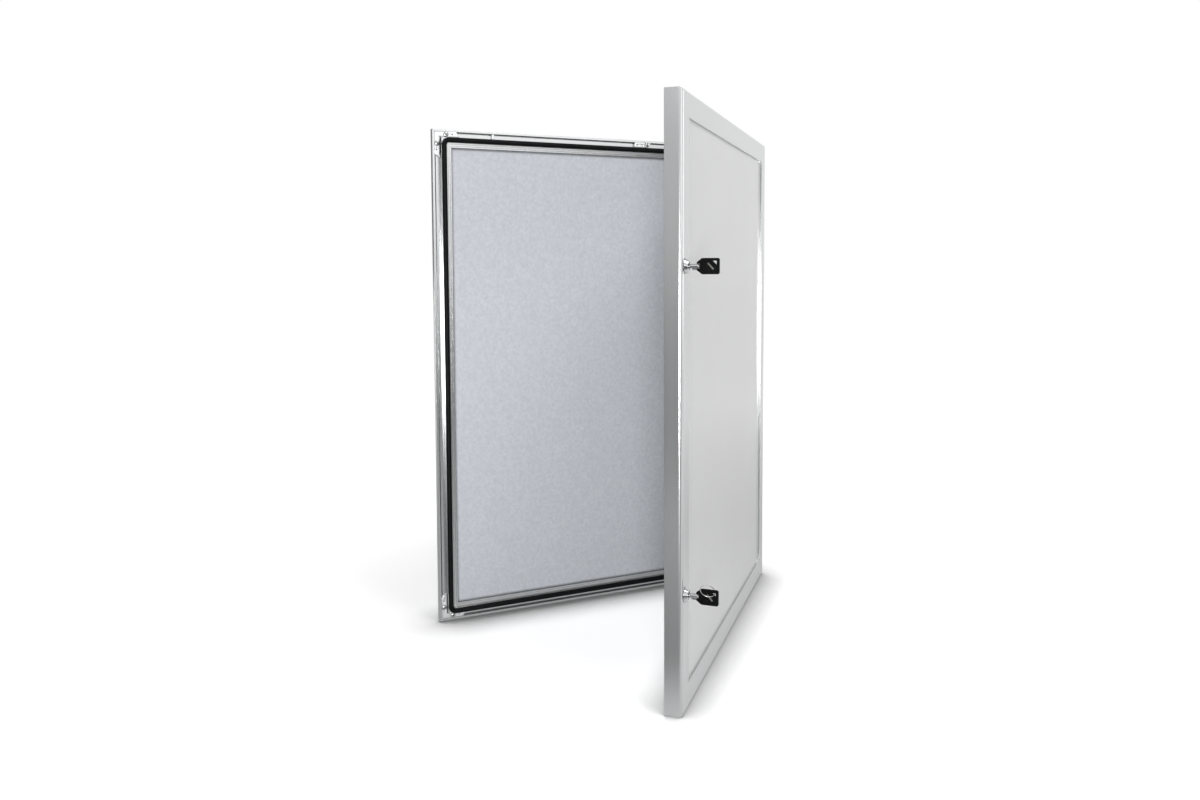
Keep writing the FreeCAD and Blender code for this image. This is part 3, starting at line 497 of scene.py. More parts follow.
# %% Bright steel, chrome and brass
def bright_metal(name, dark, light, rough_low, rough_high, shade_depth):
    """A polished metal with hairlines, worn edges and a painted shade in its crevices."""
    material, tree, shader, place = new_finish(name)
    hairs = use(tree, drawn_lines, Vector=place, Across=5200.0, Along=260.0)["Value"]
    edges = use(tree, worn_edges, Radius=0.00025, Strength=6.0)
    shade_in_corners = use(tree, painted_corner_shade, Distance=shade_depth, Strength=1.0)["Value"]
    tone = mix_colour(tree, hairs, dark, light)
    tone = mix_colour(tree, maths(tree, "MULTIPLY", edges["Edge"], 0.6), tone, rgb(0.95))
    # Painted shade in the crevices.
    tone = mix_colour(tree, shade_in_corners, tone, rgb(0.03))
    rough = stretch(tree, hairs, 0.25, 0.75, rough_low, rough_high)
    set_look(tree, shader, Base_Color=tone, Metallic=1.0, Roughness=rough,
             Normal=relief(tree, hairs, 0.000006, 0.4, edges["Normal"]))
    return material


bright_steel = bright_metal("Bright plated steel", rgb(0.40), rgb(0.60), 0.16, 0.30, 0.003)
chrome = bright_metal("Chrome on brass", rgb(0.46, 0.47, 0.48), rgb(0.62, 0.62, 0.63), 0.07, 0.15, 0.005)
plain_brass = bright_metal("Plain brass", rgb(0.52, 0.36, 0.15), rgb(0.72, 0.55, 0.28), 0.22, 0.38, 0.003)
paint(bright_steel, "upper_hinge_pin", "lower_hinge_pin", "upper_lock_cam", "lower_lock_cam")
paint(chrome, "lock_barrels", "upper_lock_plug", "lower_lock_plug", "upper_key_shank", "lower_key_shank")
paint(plain_brass, "lock_nuts")
print("steel, chrome and brass on the locks and hinges")

# %% [markdown]
# ## Black plastic, black rubber and the clouded pane
#
# The key heads are moulded in black plastic with a fine spark-eroded grain, worn shiny along the edges.
# The bar in each head is plain grey. The rubber is extruded, nearly black and matt, with fine pores and a
# bloom of grey. The pane looks white and closed rather than clear, so it is a pale, slightly see-through
# plastic with a smooth surface that picks up a soft sheen.

# %% Black plastic
black_plastic, tree, shader, place = new_finish("Moulded black plastic")
sparks = add(tree, "ShaderNodeTexVoronoi", Vector=place, Scale=4200.0).outputs["Distance"]
patches = use(tree, clouds, Vector=place, Scale=180.0)["Value"]
edges = use(tree, worn_edges, Radius=0.0006, Strength=4.0)
tone = mix_colour(tree, patches, rgb(0.002), rgb(0.006, 0.006, 0.0065))
tone = mix_colour(tree, maths(tree, "MULTIPLY", edges["Edge"], 0.3), tone, rgb(0.04))
polish = maths(tree, "SUBTRACT", 0.46, maths(tree, "MULTIPLY", edges["Edge"], 0.2))
set_look(tree, shader, Base_Color=tone, Roughness=polish, Specular_IOR_Level=0.05,
         Normal=relief(tree, sparks, 0.00003, 0.4, edges["Normal"]))
paint(black_plastic, "upper_key_head", "lower_key_head")
print("black plastic on the key heads")

# %% Grey plastic
grey_plastic, tree, shader, place = new_finish("Grey plastic bar")
patches = use(tree, clouds, Vector=place, Scale=600.0)["Value"]
edges = use(tree, worn_edges, Radius=0.0002, Strength=5.0)
tone = mix_colour(tree, patches, rgb(0.115, 0.12, 0.105), rgb(0.15, 0.155, 0.14))
tone = mix_colour(tree, maths(tree, "MULTIPLY", edges["Edge"], 0.5), tone, rgb(0.24, 0.24, 0.23))
set_look(tree, shader, Base_Color=tone, Roughness=stretch(tree, patches, 0.0, 1.0, 0.38, 0.5),
         Specular_IOR_Level=0.2, Normal=edges["Normal"])
print("grey plastic for the bar in each key head")

# %% Black rubber
black_rubber, tree, shader, place = new_finish("Extruded black rubber")
bloom = use(tree, clouds, Vector=place, Scale=45.0, Low=0.4, High=0.75)["Value"]
pores = speckle(tree, place, 1800.0, 3.0)
dust = use(tree, settled_dust, Vector=place, Amount=0.25)["Value"]
tone = mix_colour(tree, bloom, rgb(0.002, 0.002, 0.0022), rgb(0.006, 0.006, 0.0065))
tone = mix_colour(tree, maths(tree, "MULTIPLY", dust, 0.5), tone, rgb(0.06, 0.06, 0.058))
set_look(tree, shader, Base_Color=tone, Roughness=stretch(tree, pores, 0.3, 0.7, 0.48, 0.62),
         Specular_IOR_Level=0.12, Normal=relief(tree, pores, 0.00004, 0.5))
paint(black_rubber, "pane_seal")
print("rubber on the pane's seal")

# %% Clouded pane
clouded_pane, tree, shader, place = new_finish("Clouded plastic pane")
veil = use(tree, clouds, Vector=place, Scale=3.0, Low=0.3, High=0.7)["Value"]
flecks = speckle(tree, place, 1400.0)
waves = speckle(tree, place, 7.0, 1.0)
tone = mix_colour(tree, veil, rgb(0.775, 0.78, 0.78), rgb(0.81, 0.815, 0.815))
set_look(tree, shader, Base_Color=tone, Transmission_Weight=0.08, IOR=1.49,
         Roughness=stretch(tree, flecks, 0.3, 0.7, 0.13, 0.19), Normal=relief(tree, waves, 0.0004, 0.15))
paint(clouded_pane, "door_pane")
print("clouded plastic in the door")

# %% [markdown]
# ## Grey felt
#
# The pin board is covered with needle felt, a mat of short fibres in pale and dark blue-grey that lie in
# all directions. Seen close it is a mottle of hairs, and from afar a soft cloudy grey. Two layers of
# stretched noise make the hairs, a third makes the tufts and a fourth the clouds, and a little sheen
# stands for the nap. Where the frame's ledge reaches over it, a painted shade darkens the felt.

# %% Grey felt
TUFTS_PER_METRE = 170.0
LYING_TURN = (0, math.radians(73), math.radians(20))
grey_felt, tree, shader, place = new_finish("Grey needle felt")
level = add(tree, "ShaderNodeMapping", Vector=place, Rotation=LYING_TURN).outputs[0]
lying = use(tree, drawn_lines, Vector=level, Across=1900.0, Along=330.0)["Value"]
standing = use(tree, drawn_lines, Vector=place, Across=1700.0, Along=260.0)["Value"]
tufts = speckle(tree, place, TUFTS_PER_METRE, 5.0, 0.65)
drifts = use(tree, clouds, Vector=place, Scale=38.0, Low=0.35, High=0.65)["Value"]
shade_under_ledge = use(tree, painted_corner_shade, Distance=0.006, Strength=2.2)["Value"]
mottle = stretch(tree, tufts, 0.35, 0.65, 0.0, 1.0)
tone = mix_colour(tree, mottle, rgb(0.575, 0.597, 0.64), rgb(0.685, 0.707, 0.75))
tone = mix_colour(tree, stretch(tree, lying, 0.55, 0.75, 0.0, 0.55), tone, rgb(0.79, 0.81, 0.845))
tone = mix_colour(tree, stretch(tree, standing, 0.58, 0.78, 0.0, 0.5), tone, rgb(0.42, 0.44, 0.48))
tone = mix_colour(tree, maths(tree, "MULTIPLY", drifts, 0.25), tone, rgb(0.595, 0.617, 0.66))
# Painted shade where the ledge reaches over the felt.
tone = mix_colour(tree, shade_under_ledge, tone, rgb(0.05, 0.055, 0.06))
nap = maths(tree, "ADD", maths(tree, "ADD", lying, standing), tufts)
set_look(tree, shader, Base_Color=tone, Roughness=0.95, Sheen_Weight=0.15, Sheen_Roughness=0.5,
         Normal=relief(tree, nap, 0.0004, 0.6))
print("felt: tufts about", round(1 / MM / TUFTS_PER_METRE), "mm apart")

# %% [markdown]
# ## Making meshes
#
# The pieces below are built point by point. `make_piece` turns points and faces into an object at the
# origin, with its normals outwards, so that its place lies in its mesh, as it does for a CAD part. `cut`
# adds a modifier that takes another shape away, and `plain_mesh` turns a piece with modifiers into a
# plain mesh.


# %% Helpers for meshes
def link_mesh(name, mesh, material):
    """An object at the origin that shows this mesh in this finish."""
    mesh.materials.clear()
    mesh.materials.append(material)
    return link(bpy.data.objects.new(name, mesh))


def smooth(mesh, bend):
    """Smooth shading, except where the mesh bends by more than this angle."""
    mesh.shade_smooth()
    mesh.set_sharp_from_angle(angle=math.radians(bend))


def make_piece(name, points, faces, material, bend=35.0):
    """A mesh from its points and faces, closed and with its faces outwards."""
    mesh = bpy.data.meshes.new(name)
    mesh.from_pydata(points, [], faces)
    shaped = bmesh.new()
    shaped.from_mesh(mesh)
    bmesh.ops.remove_doubles(shaped, verts=shaped.verts, dist=1e-7)
    bmesh.ops.recalc_face_normals(shaped, faces=shaped.faces)
    shaped.to_mesh(mesh)
    shaped.free()
    smooth(mesh, bend)
    return link_mesh(name, mesh, material)


def cut(piece, cutter, joined=False):
    """Take another object's shape away. joined says that the cutter's parts run through each other."""
    bore = piece.modifiers.new("Cut", "BOOLEAN")
    bore.object = cutter
    bore.operation = "DIFFERENCE"
    bore.solver = "EXACT"
    bore.use_self = joined


def plain_mesh(piece):
    """Turn a piece with modifiers into a plain mesh."""
    graph = bpy.context.evaluated_depsgraph_get()
    plain = bpy.data.meshes.new_from_object(piece.evaluated_get(graph))
    piece.modifiers.clear()
    piece.data = plain


def ring_faces(size, rings, closed=False):
    """The four-sided faces between rings of points, and from the last ring to the first if closed."""
    count = rings * size
    return [(ring * size + edge, ring * size + (edge + 1) % size,
             ((ring + 1) * size + (edge + 1) % size) % count, ((ring + 1) * size + edge) % count)
            for ring in range(rings if closed else rings - 1) for edge in range(size)]


def dress(piece, body, slot, *replaced):
    """Let a piece move with a body and stand it in for CAD parts. slot is not used."""
    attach(piece, body)
    if replaced:
        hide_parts(*replaced)
    triangles = sum(len(face.vertices) - 2 for face in piece.data.polygons)
    print(piece.name, triangles, "triangles, on", body)


# %% [markdown]
# ## The felt sheet
#
# Felt is never quite flat: it follows the board's small waves and its cut edges are soft and a little
# crushed. The sheet covers the board's core to its edges. It is a grid of points, pushed in and out by a
# fraction of a millimetre of noise, with its rim rolled back to the board.

# %% The felt sheet
FELT_LEFT, FELT_RIGHT = (reach("pin_board_core", 0, end) for end in (LOW, HIGH))
FELT_BOTTOM, FELT_TOP = (reach("pin_board_core", 2, end) for end in (LOW, HIGH))
FELT_BACK, FELT_FRONT = 1.32, 2.5
RIM_THICKNESS = 0.35
LONG_WAVE, SHORT_WAVE = 0.06, 0.04
FELT_EDGE = 1.1
ROLL_STEPS = (0.0, 0.25, 0.6)
COLUMNS, ROWS = 96, 132


def felt_line(low, high, count):
    """Places along one side of the felt, close together at the rolled rim."""
    inner = [low + FELT_EDGE + (high - low - 2 * FELT_EDGE) * step / count for step in range(count + 1)]
    return [low + place for place in ROLL_STEPS] + inner + [high - place for place in reversed(ROLL_STEPS)]


def felt_height(x, z):
    """How far the felt's surface stands above the lip, lower at the rim and slightly wavy."""
    rim = min(x - FELT_LEFT, FELT_RIGHT - x, z - FELT_BOTTOM, FELT_TOP - z)
    roll = 1.0 - max(0.0, 1.0 - rim / FELT_EDGE) ** 2
    long_wave = LONG_WAVE * noise.noise(Vector((x, z, 0.0)) * 0.02)
    short_wave = SHORT_WAVE * noise.noise(Vector((x, z, 5.0)) * 0.11)
    thickness = FELT_FRONT - FELT_BACK - RIM_THICKNESS - (LONG_WAVE + SHORT_WAVE) + long_wave + short_wave
    return FELT_BACK + RIM_THICKNESS + thickness * roll


columns = felt_line(FELT_LEFT, FELT_RIGHT, COLUMNS)
rows = felt_line(FELT_BOTTOM, FELT_TOP, ROWS)
wide, tall = len(columns), len(rows)
points = [in_case(x, felt_height(x, z), z) for z in rows for x in columns]
points += [in_case(x, FELT_BACK, z) for z in rows for x in columns]
faces = []
for row in range(tall - 1):
    for column in range(wide - 1):
        corner = row * wide + column
        faces.append((corner, corner + 1, corner + wide + 1, corner + wide))
        faces.append(tuple(reversed([index + wide * tall for index in faces[-1]])))
rim = ([*range(wide)] + [wide - 1 + row * wide for row in range(1, tall)]
       + [(tall - 1) * wide + column for column in reversed(range(wide - 1))]
       + [row * wide for row in reversed(range(1, tall - 1))])
for index, corner in enumerate(rim):
    after = rim[(index + 1) % len(rim)]
    faces.append((corner, after, after + wide * tall, corner + wide * tall))
felt = make_piece("felt_sheet", points, faces, grey_felt, 60.0)
dress(felt, "case", "grey_felt", "felt_cover")

# %% [markdown]
# ## The rubber seal
#
# The seal is one length of rubber that runs round the holder and bends at the corners. Its section is a
# rounded bulb with a low ridge along the crest, on a foot with a barb on each side that holds it. Only
# the outside is made, because a closed ring shows no cut end. A section carried round a path is the right
# way to make it: the same points are set out at each step of the path, and joined.

# %% The rubber seal
SEAL_LINE = 21.5
SEAL_CORNER = 10.6
SEAL_CORNER_STEPS = 14
half_bulb = ((4.9, 9.05), (4.9, 11.2), (4.75, 12.3), (4.3, 13.3), (3.5, 14.1), (2.5, 14.55), (1.5, 14.72),
             (0.75, 14.72), (0.5, 14.9), (0.0, 14.98))
foot = ((1.45, 9.05), (1.45, 8.3), (2.2, 7.9), (2.2, 7.3), (1.2, 6.9))
left_half = [(-across, high) for across, high in half_bulb[:-1]]
left_foot = [(-across, high) for across, high in foot]
seal_section = [*half_bulb, *reversed(left_half), *left_foot, *reversed(foot)]


def ring_path(half_width, half_height, radius, steps):
    """Points round a rectangle with rounded corners, each with its outward direction."""
    path = []
    for corner, (side, up) in enumerate(((1, 1), (-1, 1), (-1, -1), (1, -1))):
        middle = Vector((side * (half_width - radius), up * (half_height - radius)))
        for step in range(steps + 1):
            angle = math.radians(90 * corner + 90 * step / steps)
            outward = Vector((math.cos(angle), math.sin(angle)))
            path.append((middle + outward * radius, outward))
    return path


seal_path = ring_path(CASE_HALF_WIDTH - SEAL_LINE, CASE_HALF_HEIGHT - SEAL_LINE, SEAL_CORNER,
                      SEAL_CORNER_STEPS)
points = [in_case(place.x + outward.x * across, high, place.y + outward.y * across)
          for place, outward in seal_path for across, high in seal_section]
faces = ring_faces(len(seal_section), len(seal_path), closed=True)
dress(make_piece("case_seal", points, faces, black_rubber, 50.0), "case", "black_rubber", "case_gasket")

# %% [markdown]
# ## The corner connectors
#
# Each cast connector has a small pilot hole beside the screw in each arm, the anchor plate in the top
# rail has two, and every edge is softened by the mould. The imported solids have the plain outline. A copy
# of each is merged into a closed mesh, drilled with thin rods by a Boolean modifier, and given rounded
# edges by a Bevel modifier.

# %% Drilling and softening a casting
CHANNEL_LINE = 9.7
PILOT_RADIUS, PILOT_DEPTH = 1.3, 2.5
CAST_EDGE, CAST_BEND = 0.3, 40.0
CONNECTOR_PILOT = 41.0
ANCHOR_PILOTS = (80.0, 92.0)


def drill_bits(places):
    """Thin rods that stand across the case's front, one at each place."""
    cutter = bmesh.new()
    for x, z in places:
        bmesh.ops.create_cone(cutter, cap_ends=True, segments=20, radius1=PILOT_RADIUS * MM,
                              radius2=PILOT_RADIUS * MM, depth=PILOT_DEPTH * 2 * MM,
                              matrix=facing_front(x, LIP_PLANE, z))
    mesh = bpy.data.meshes.new("drill_bits")
    cutter.to_mesh(mesh)
    cutter.free()
    return link(bpy.data.objects.new("drill_bits", mesh))


def merged_copy(node):
    """A closed copy of a CAD part's mesh, with its flat faces joined."""
    mesh = parts[node].data.copy()
    shaped = bmesh.new()
    shaped.from_mesh(mesh)
    bmesh.ops.remove_doubles(shaped, verts=shaped.verts, dist=1e-6)
    bmesh.ops.dissolve_limit(shaped, angle_limit=math.radians(0.5), verts=shaped.verts, edges=shaped.edges)
    shaped.to_mesh(mesh)
    shaped.free()
    return mesh


def drill_casting(node, places):
    """Replace a CAD casting by a copy with small holes and softened edges."""
    piece = link_mesh(f"{node}_drilled", merged_copy(node), cast_zinc)
    bits = drill_bits(places)
    cut(piece, bits)
    soft = piece.modifiers.new("Cast edges", "BEVEL")
    soft.width = CAST_EDGE * MM
    soft.segments = 2
    soft.limit_method = "ANGLE"
    soft.angle_limit = math.radians(CAST_BEND)
    plain_mesh(piece)
    bpy.data.objects.remove(bits)
    smooth(piece.data, CAST_BEND)
    piece.data.materials.clear()
    piece.data.materials.append(cast_zinc)
    dress(piece, "case", "cast_zinc", node)


for corner, (side, up) in CORNERS.items():
    drill_casting(f"corner_connector_{corner}",
                  [(side * (CASE_HALF_WIDTH - along), up * (CASE_HALF_HEIGHT - across))
                   for along, across in ((CONNECTOR_PILOT, CHANNEL_LINE), (CHANNEL_LINE, CONNECTOR_PILOT))])
drill_casting("stay_anchor", [(along, CASE_HALF_HEIGHT - CHANNEL_LINE) for along in ANCHOR_PILOTS])

# %% [markdown]
# ## Screws
#
# A pan-head screw is a turned dome with a cross pressed into it. The dome is a profile spun about its
# axis, and the cross is cut with two crossed wedges. The screws repeat, so Geometry Nodes set them out:
# the tree takes a cloud of points, puts one screw on each, gives every one its own turn from a fixed
# seed, and ends as real mesh with its material.

# %% A screw head
HEAD_STEPS = 28
DOME_STEPS = 7


def spin_profile(profile, steps):
    """Points and faces of a profile, given as radius and height, spun about its axis."""
    points = []
    for radius, high in profile:
        for step in range(steps):
            angle = math.tau * step / steps
            points.append(Vector((radius * math.cos(angle), radius * math.sin(angle), high)) * MM)
    return points, ring_faces(steps, len(profile))


def cross_cutter(half_length, half_width, top, depth):
    """Two crossed wedges that cut the recess of a screw, narrower at the bottom."""
    levels = ((top, half_length, half_width), (top - depth, half_length * 0.45, half_width * 0.7))
    points, faces = [], []
    for turn in (0, 90):
        spin = Matrix.Rotation(math.radians(turn), 3, "Z")
        start = len(points)
        for high, long, thick in levels:
            for x, y in ((-long, -thick), (long, -thick), (long, thick), (-long, thick)):
                points.append(spin @ Vector((x, y, high)) * MM)
        for face in ((0, 1, 2, 3), (7, 6, 5, 4), (0, 4, 5, 1), (1, 5, 6, 2), (2, 6, 7, 3), (3, 7, 4, 0)):
            faces.append([start + corner for corner in face])
    return points, faces


def screw_head(name, radius, height, recess):
    """A domed head that stands on its place, with a cross recess."""
    rim = radius * 0.12
    skirt = 0.34
    profile = [(0.0, 0.0), (radius - rim * 0.6, 0.0), (radius, rim * 0.6), (radius, height * skirt)]
    for step in range(1, DOME_STEPS + 1):
        angle = math.radians(90 * step / DOME_STEPS)
        rise = skirt + (1 - skirt) * math.sin(angle) ** 0.85
        profile.append((radius * math.cos(angle), height * rise))
    profile[-1] = (0.0, height)
    head = make_piece(name, *spin_profile(profile, HEAD_STEPS), bright_steel)
    above = height * 0.15
    cutter = make_piece("cutter", *cross_cutter(radius * 0.62, radius * 0.15, height + above, above + recess),
                        bright_steel)
    cut(head, cutter, joined=True)
    plain_mesh(head)
    bpy.data.objects.remove(cutter)
    smooth(head.data, 35.0)
    return head


pan_head = screw_head("pan_head", 4.75, 2.7, 1.7)
leaf_head = screw_head("leaf_head", 2.8, 0.9, 0.6)
cam_head = screw_head("cam_head", 3.2, 2.0, 1.3)
heads = (pan_head, leaf_head, cam_head)
print("three heads with crosses:", [len(head.data.polygons) for head in heads], "faces")

# %% A tree that sets screws out
RANDOM_HIGHEST, RANDOM_NUMBER = 3, 1
screw_setter = bpy.data.node_groups.new("Set screws out", "GeometryNodeTree")
for label, kind in (("Points", "Geometry"), ("Screw", "Object"), ("Facing", "Rotation"), ("Seed", "Int"),
                    ("Finish", "Material")):
    screw_setter.interface.new_socket(label, in_out="INPUT", socket_type=f"NodeSocket{kind}")
screw_setter.interface.new_socket("Screws", in_out="OUTPUT", socket_type="NodeSocketGeometry")
sockets = {item.name: item.identifier for item in screw_setter.interface.items_tree}
given = screw_setter.nodes.new("NodeGroupInput").outputs
leave = screw_setter.nodes.new("NodeGroupOutput").inputs
shape = add(screw_setter, "GeometryNodeObjectInfo", Object=given["Screw"], As_Instance=True)
planted = add(screw_setter, "GeometryNodeInstanceOnPoints", Points=given["Points"],
              Instance=shape.outputs["Geometry"], Rotation=given["Facing"])
chance = add(screw_setter, "FunctionNodeRandomValue", {"data_type": "FLOAT"}, Seed=given["Seed"])
feed(screw_setter, chance.inputs[RANDOM_HIGHEST], math.tau)
spin = add(screw_setter, "ShaderNodeCombineXYZ", Z=chance.outputs[RANDOM_NUMBER])
turned = add(screw_setter, "GeometryNodeRotateInstances", Instances=planted.outputs[0],
             Rotation=spin.outputs[0])
solid = add(screw_setter, "GeometryNodeRealizeInstances", Geometry=turned.outputs[0])
finished = add(screw_setter, "GeometryNodeSetMaterial", Geometry=solid.outputs[0], Material=given["Finish"])
feed(screw_setter, leave["Screws"], finished.outputs[0])
print("the tree has", len(screw_setter.nodes), "nodes")

# %% Setting them out
CONNECTOR_SCREW = 28.0
ANCHOR_SCREW = 103.0
SCREW_SEAT = -0.2
CASE_LEAF_FACE, CASE_LEAF_LINE = 374.7, -4.0
CASE_LEAF_SCREWS = (-38, 38)
HINGE_HEIGHTS = [(reach(pin, 2, LOW) + reach(pin, 2)) / 2 for pin in ("lower_hinge_pin", "upper_hinge_pin")]
TO_ROOM = Euler((math.radians(90), 0, 0))
TO_RIGHT = Euler((0, math.radians(90), 0))


def set_screws(name, places, facing, screw, seed, body):
    """One piece with a screw at each place, all facing the same way."""
    mesh = bpy.data.meshes.new(name)
    mesh.from_pydata(places, [], [])
    piece = link(bpy.data.objects.new(name, mesh))
    setter = piece.modifiers.new("Screws", "NODES")
    setter.node_group = screw_setter
    for label, value in (("Screw", screw), ("Facing", facing), ("Seed", seed), ("Finish", bright_steel)):
        setter[sockets[label]] = value
    plain_mesh(piece)
    dress(piece, body, "bright_steel")


corner_spots = [in_case(side * (CASE_HALF_WIDTH - along), SCREW_SEAT, up * (CASE_HALF_HEIGHT - across))
                for side in (-1, 1) for up in (-1, 1)
                for along, across in ((CONNECTOR_SCREW, CHANNEL_LINE), (CHANNEL_LINE, CONNECTOR_SCREW))]
anchor_spot = [in_case(ANCHOR_SCREW, SCREW_SEAT, CASE_HALF_HEIGHT - CHANNEL_LINE)]
set_screws("case_screws", corner_spots + anchor_spot, TO_ROOM, pan_head, 4, "case")
case_leaf_spots = [Vector((CASE_LEAF_FACE, CASE_LEAF_LINE, hinge + along)) * MM
                   for hinge in HINGE_HEIGHTS for along in CASE_LEAF_SCREWS]
set_screws("case_leaf_screws", case_leaf_spots, TO_RIGHT, leaf_head, 11, "case")

# %% [markdown]
# ## Screws on the door and under the cams
#
# The door's leaves lie on the outside of its skirt, so their screws face sideways from the hinge edge of
# the open door. One screw under each cam holds it on the plug, and it turns with that plug.

# %% Screws that move
DOOR_LEAF_FACE, DOOR_LEAF_LINE = 376.3, -17.0
DOOR_LEAF_SCREWS = (-36, 0, 36)
CAM_FACE = Vector((0, 0, -8.0))
door_leaf_spots = [door_swing @ (Vector((DOOR_LEAF_FACE, DOOR_LEAF_LINE, hinge + along)) * MM)
                   for hinge in HINGE_HEIGHTS for along in DOOR_LEAF_SCREWS]
outwards = (Matrix.Rotation(OPEN_ANGLE, 3, "Z") @ TO_RIGHT.to_matrix()).to_euler()
set_screws("door_leaf_screws", door_leaf_spots, outwards, leaf_head, 23, "door")
for seed, (name, place) in enumerate(lock_places.items(), 31):
    rearwards = (place.to_3x3() @ Matrix.Rotation(math.pi, 3, "X")).to_euler()
    set_screws(f"{name}_cam_screw", [place @ (CAM_FACE * MM)], rearwards, cam_head, seed, f"{name}_plug")
for head in heads:
    bpy.data.objects.remove(head)

# %% [markdown]
# ## The split ring
#
# The lower key carries a small split ring: two turns of flat wire pressed together, with the step where
# one turn crosses to the other. It is a section carried along two turns of a helix whose rise is gathered
# in one short stretch. The ring hangs through the eye in a corner of the key's head, and passes just
# outside the head's sloping shoulder.

# %% The split ring
KEY_HEAD_START, KEY_HEAD_LENGTH, KEY_HALF_WIDTH = 19.0, 36.0, 12.7
EYE_MARGIN, EYE_LEG = 4.4, 6.4
SHOULDER_OUT, SHOULDER_ALONG = 1.3, 6.9
RING_TILT = math.radians(22.0)
RING_TURNS, WIRE_STEPS = 1.98, 150
RING_START = math.radians(60)
CROSSING_START, CROSSING_LENGTH = 0.94, 0.12
HALF_RISE = 0.27
inset = EYE_LEG * (1 - math.sqrt(0.5))
in_eye = Vector((0, KEY_HALF_WIDTH - EYE_MARGIN - inset,
                 KEY_HEAD_START + KEY_HEAD_LENGTH - EYE_MARGIN - inset))
past_shoulder = Vector((0, KEY_HALF_WIDTH + SHOULDER_OUT, KEY_HEAD_START + SHOULDER_ALONG))
chord = past_shoulder - in_eye
along = chord.normalized()
across = Vector((-math.cos(RING_TILT), 0, 0)) + Vector((0, along.z, -along.y)) * math.sin(RING_TILT)
ring_axis = along.cross(across)
ring_middle = (in_eye + past_shoulder) / 2
ring_radius = chord.length / 2


def wire_point(turn, radial, axial):
    """A point of the wire's section after this part of its two turns."""
    step = min(1.0, max(0.0, (turn - CROSSING_START) / CROSSING_LENGTH))
    rise = HALF_RISE * (2 * (3 * step ** 2 - 2 * step ** 3) - 1)
    angle = math.tau * turn + RING_START
    outward = along * math.cos(angle) + across * math.sin(angle)
    spot = ring_middle + outward * (ring_radius + radial) + ring_axis * (rise + axial)
    return lock_places["lower"] @ (spot * MM)


wire_section = ((-0.53, -0.12), (-0.42, -0.25), (0.42, -0.25), (0.53, -0.12), (0.53, 0.12), (0.42, 0.25),
                (-0.42, 0.25), (-0.53, 0.12))
size = len(wire_section)
points = [wire_point(RING_TURNS * step / WIRE_STEPS, radial, axial)
          for step in range(WIRE_STEPS + 1) for radial, axial in wire_section]
faces = ring_faces(size, WIRE_STEPS + 1)
faces += [tuple(range(size)), tuple(WIRE_STEPS * size + edge for edge in reversed(range(size)))]
split_ring = make_piece("lower_key_split_ring", points, faces, bright_steel, 50.0)
dress(split_ring, "key_ring", "bright_steel", "lower_key_ring")

# %% [markdown]
# ## A plain bar in each key head
#
# The moulded heads have a slanted recess on the side that faces the room's left. A thin bar of grey
# plastic lies in it, a little smaller than the recess and just below the head's face. Its outline is
# set out three times, the last time smaller, so that its upper edge is softened.

# %% The bars
HEAD_HALF_THICK = 1.7
BAR_LEVELS = ((0.4, 0.15), (0.16, 0.15), (0.06, 0.35))
bar_outline = ((5.95, 18.4), (4.05, 16.4), (-5.95, 25.6), (-4.05, 27.6))
bar_middle = Vector((0.0, 22.0))


def bar_ring(place, depth, shrink):
    """The bar's four corners at one depth in the recess, drawn in towards its middle."""
    ring = []
    for corner in bar_outline:
        inward = (bar_middle - Vector(corner)).normalized() * shrink
        spot = Vector((-HEAD_HALF_THICK + depth, corner[0] + inward.x, KEY_HEAD_START + corner[1] + inward.y))
        ring.append(place @ (spot * MM))
    return ring


for name, place in lock_places.items():
    points = [spot for depth, shrink in BAR_LEVELS for spot in bar_ring(place, depth, shrink)]
    faces = [(3, 2, 1, 0), (8, 9, 10, 11), *ring_faces(4, len(BAR_LEVELS))]
    dress(make_piece(f"{name}_key_bar", points, faces, grey_plastic), f"{name}_key", "black_plastic")

# %% [markdown]
# ## Floor, sky and lamps
#
# The board stands on a white studio floor. A white floor that is lit at a plain level looks pale grey,
# and pushing more light at it would burn out the board, so the floor and the sky add some white only for
# what the camera sees, straight or in a reflection. The floor needs less help near the board, where the
# lamps reach it, and more far away. Where the board shelters it, a painted shadow takes that help away
# and darkens the floor's colour, so a soft shadow shows at the board's foot.
#
# The metal faces show what they mirror, and they stand apart only because the studio isn't the same all
# round. A white wall stands on the right behind the board and a bright screen in front of it, the ceiling
# is grey, and the left, where the room is, is dim. In the same way the floor that they mirror is white on
# the right and far away, and grey on the left.

# %% Floor
FLOOR_HALF_SIZE = 30.0
HELP_RANGE = (0.6, 1.0)
HELPED_NEAR, HELPED_FAR = 0.66, 0.95
MIRROR_RANGE = (1.0, 3.0)
MIRRORED_NEAR, MIRRORED_FAR = 0.36, 0.9
# How far the painted shadow reaches from the board, in metres.
SHADOW_REACH = 0.10
RIGHTWARDS = (0.93, 0.37, 0.0)
RIGHT_RANGE = (-0.55, -0.30)

floor_paint, tree, shader, place = new_finish("White studio floor")
# Painted shadow at the board's foot: it darkens the floor's colour and takes away its added white.
painted_shade = use(tree, painted_corner_shade, Distance=SHADOW_REACH, Strength=1.8)["Value"]
white = mix_colour(tree, use(tree, clouds, Vector=place, Scale=2.0)["Value"], rgb(0.83), rgb(0.85))
white = mix_colour(tree, painted_shade, white, rgb(0.50))
from_middle = vector_maths(tree, "LENGTH", place)["Value"]
helped = stretch(tree, from_middle, *HELP_RANGE, HELPED_NEAR, HELPED_FAR)
helped = maths(tree, "MULTIPLY", helped, maths(tree, "SUBTRACT", 1.0, painted_shade))
rightwards = vector_maths(tree, "DOT_PRODUCT", place, RIGHTWARDS)["Value"]
on_right = stretch(tree, rightwards, *RIGHT_RANGE, 0.0, 1.0)
path = add(tree, "ShaderNodeLightPath").outputs
seen = maths(tree, "MAXIMUM", path["Is Camera Ray"], path["Is Transmission Ray"])
far_white = stretch(tree, from_middle, *MIRROR_RANGE, MIRRORED_NEAR, MIRRORED_FAR)
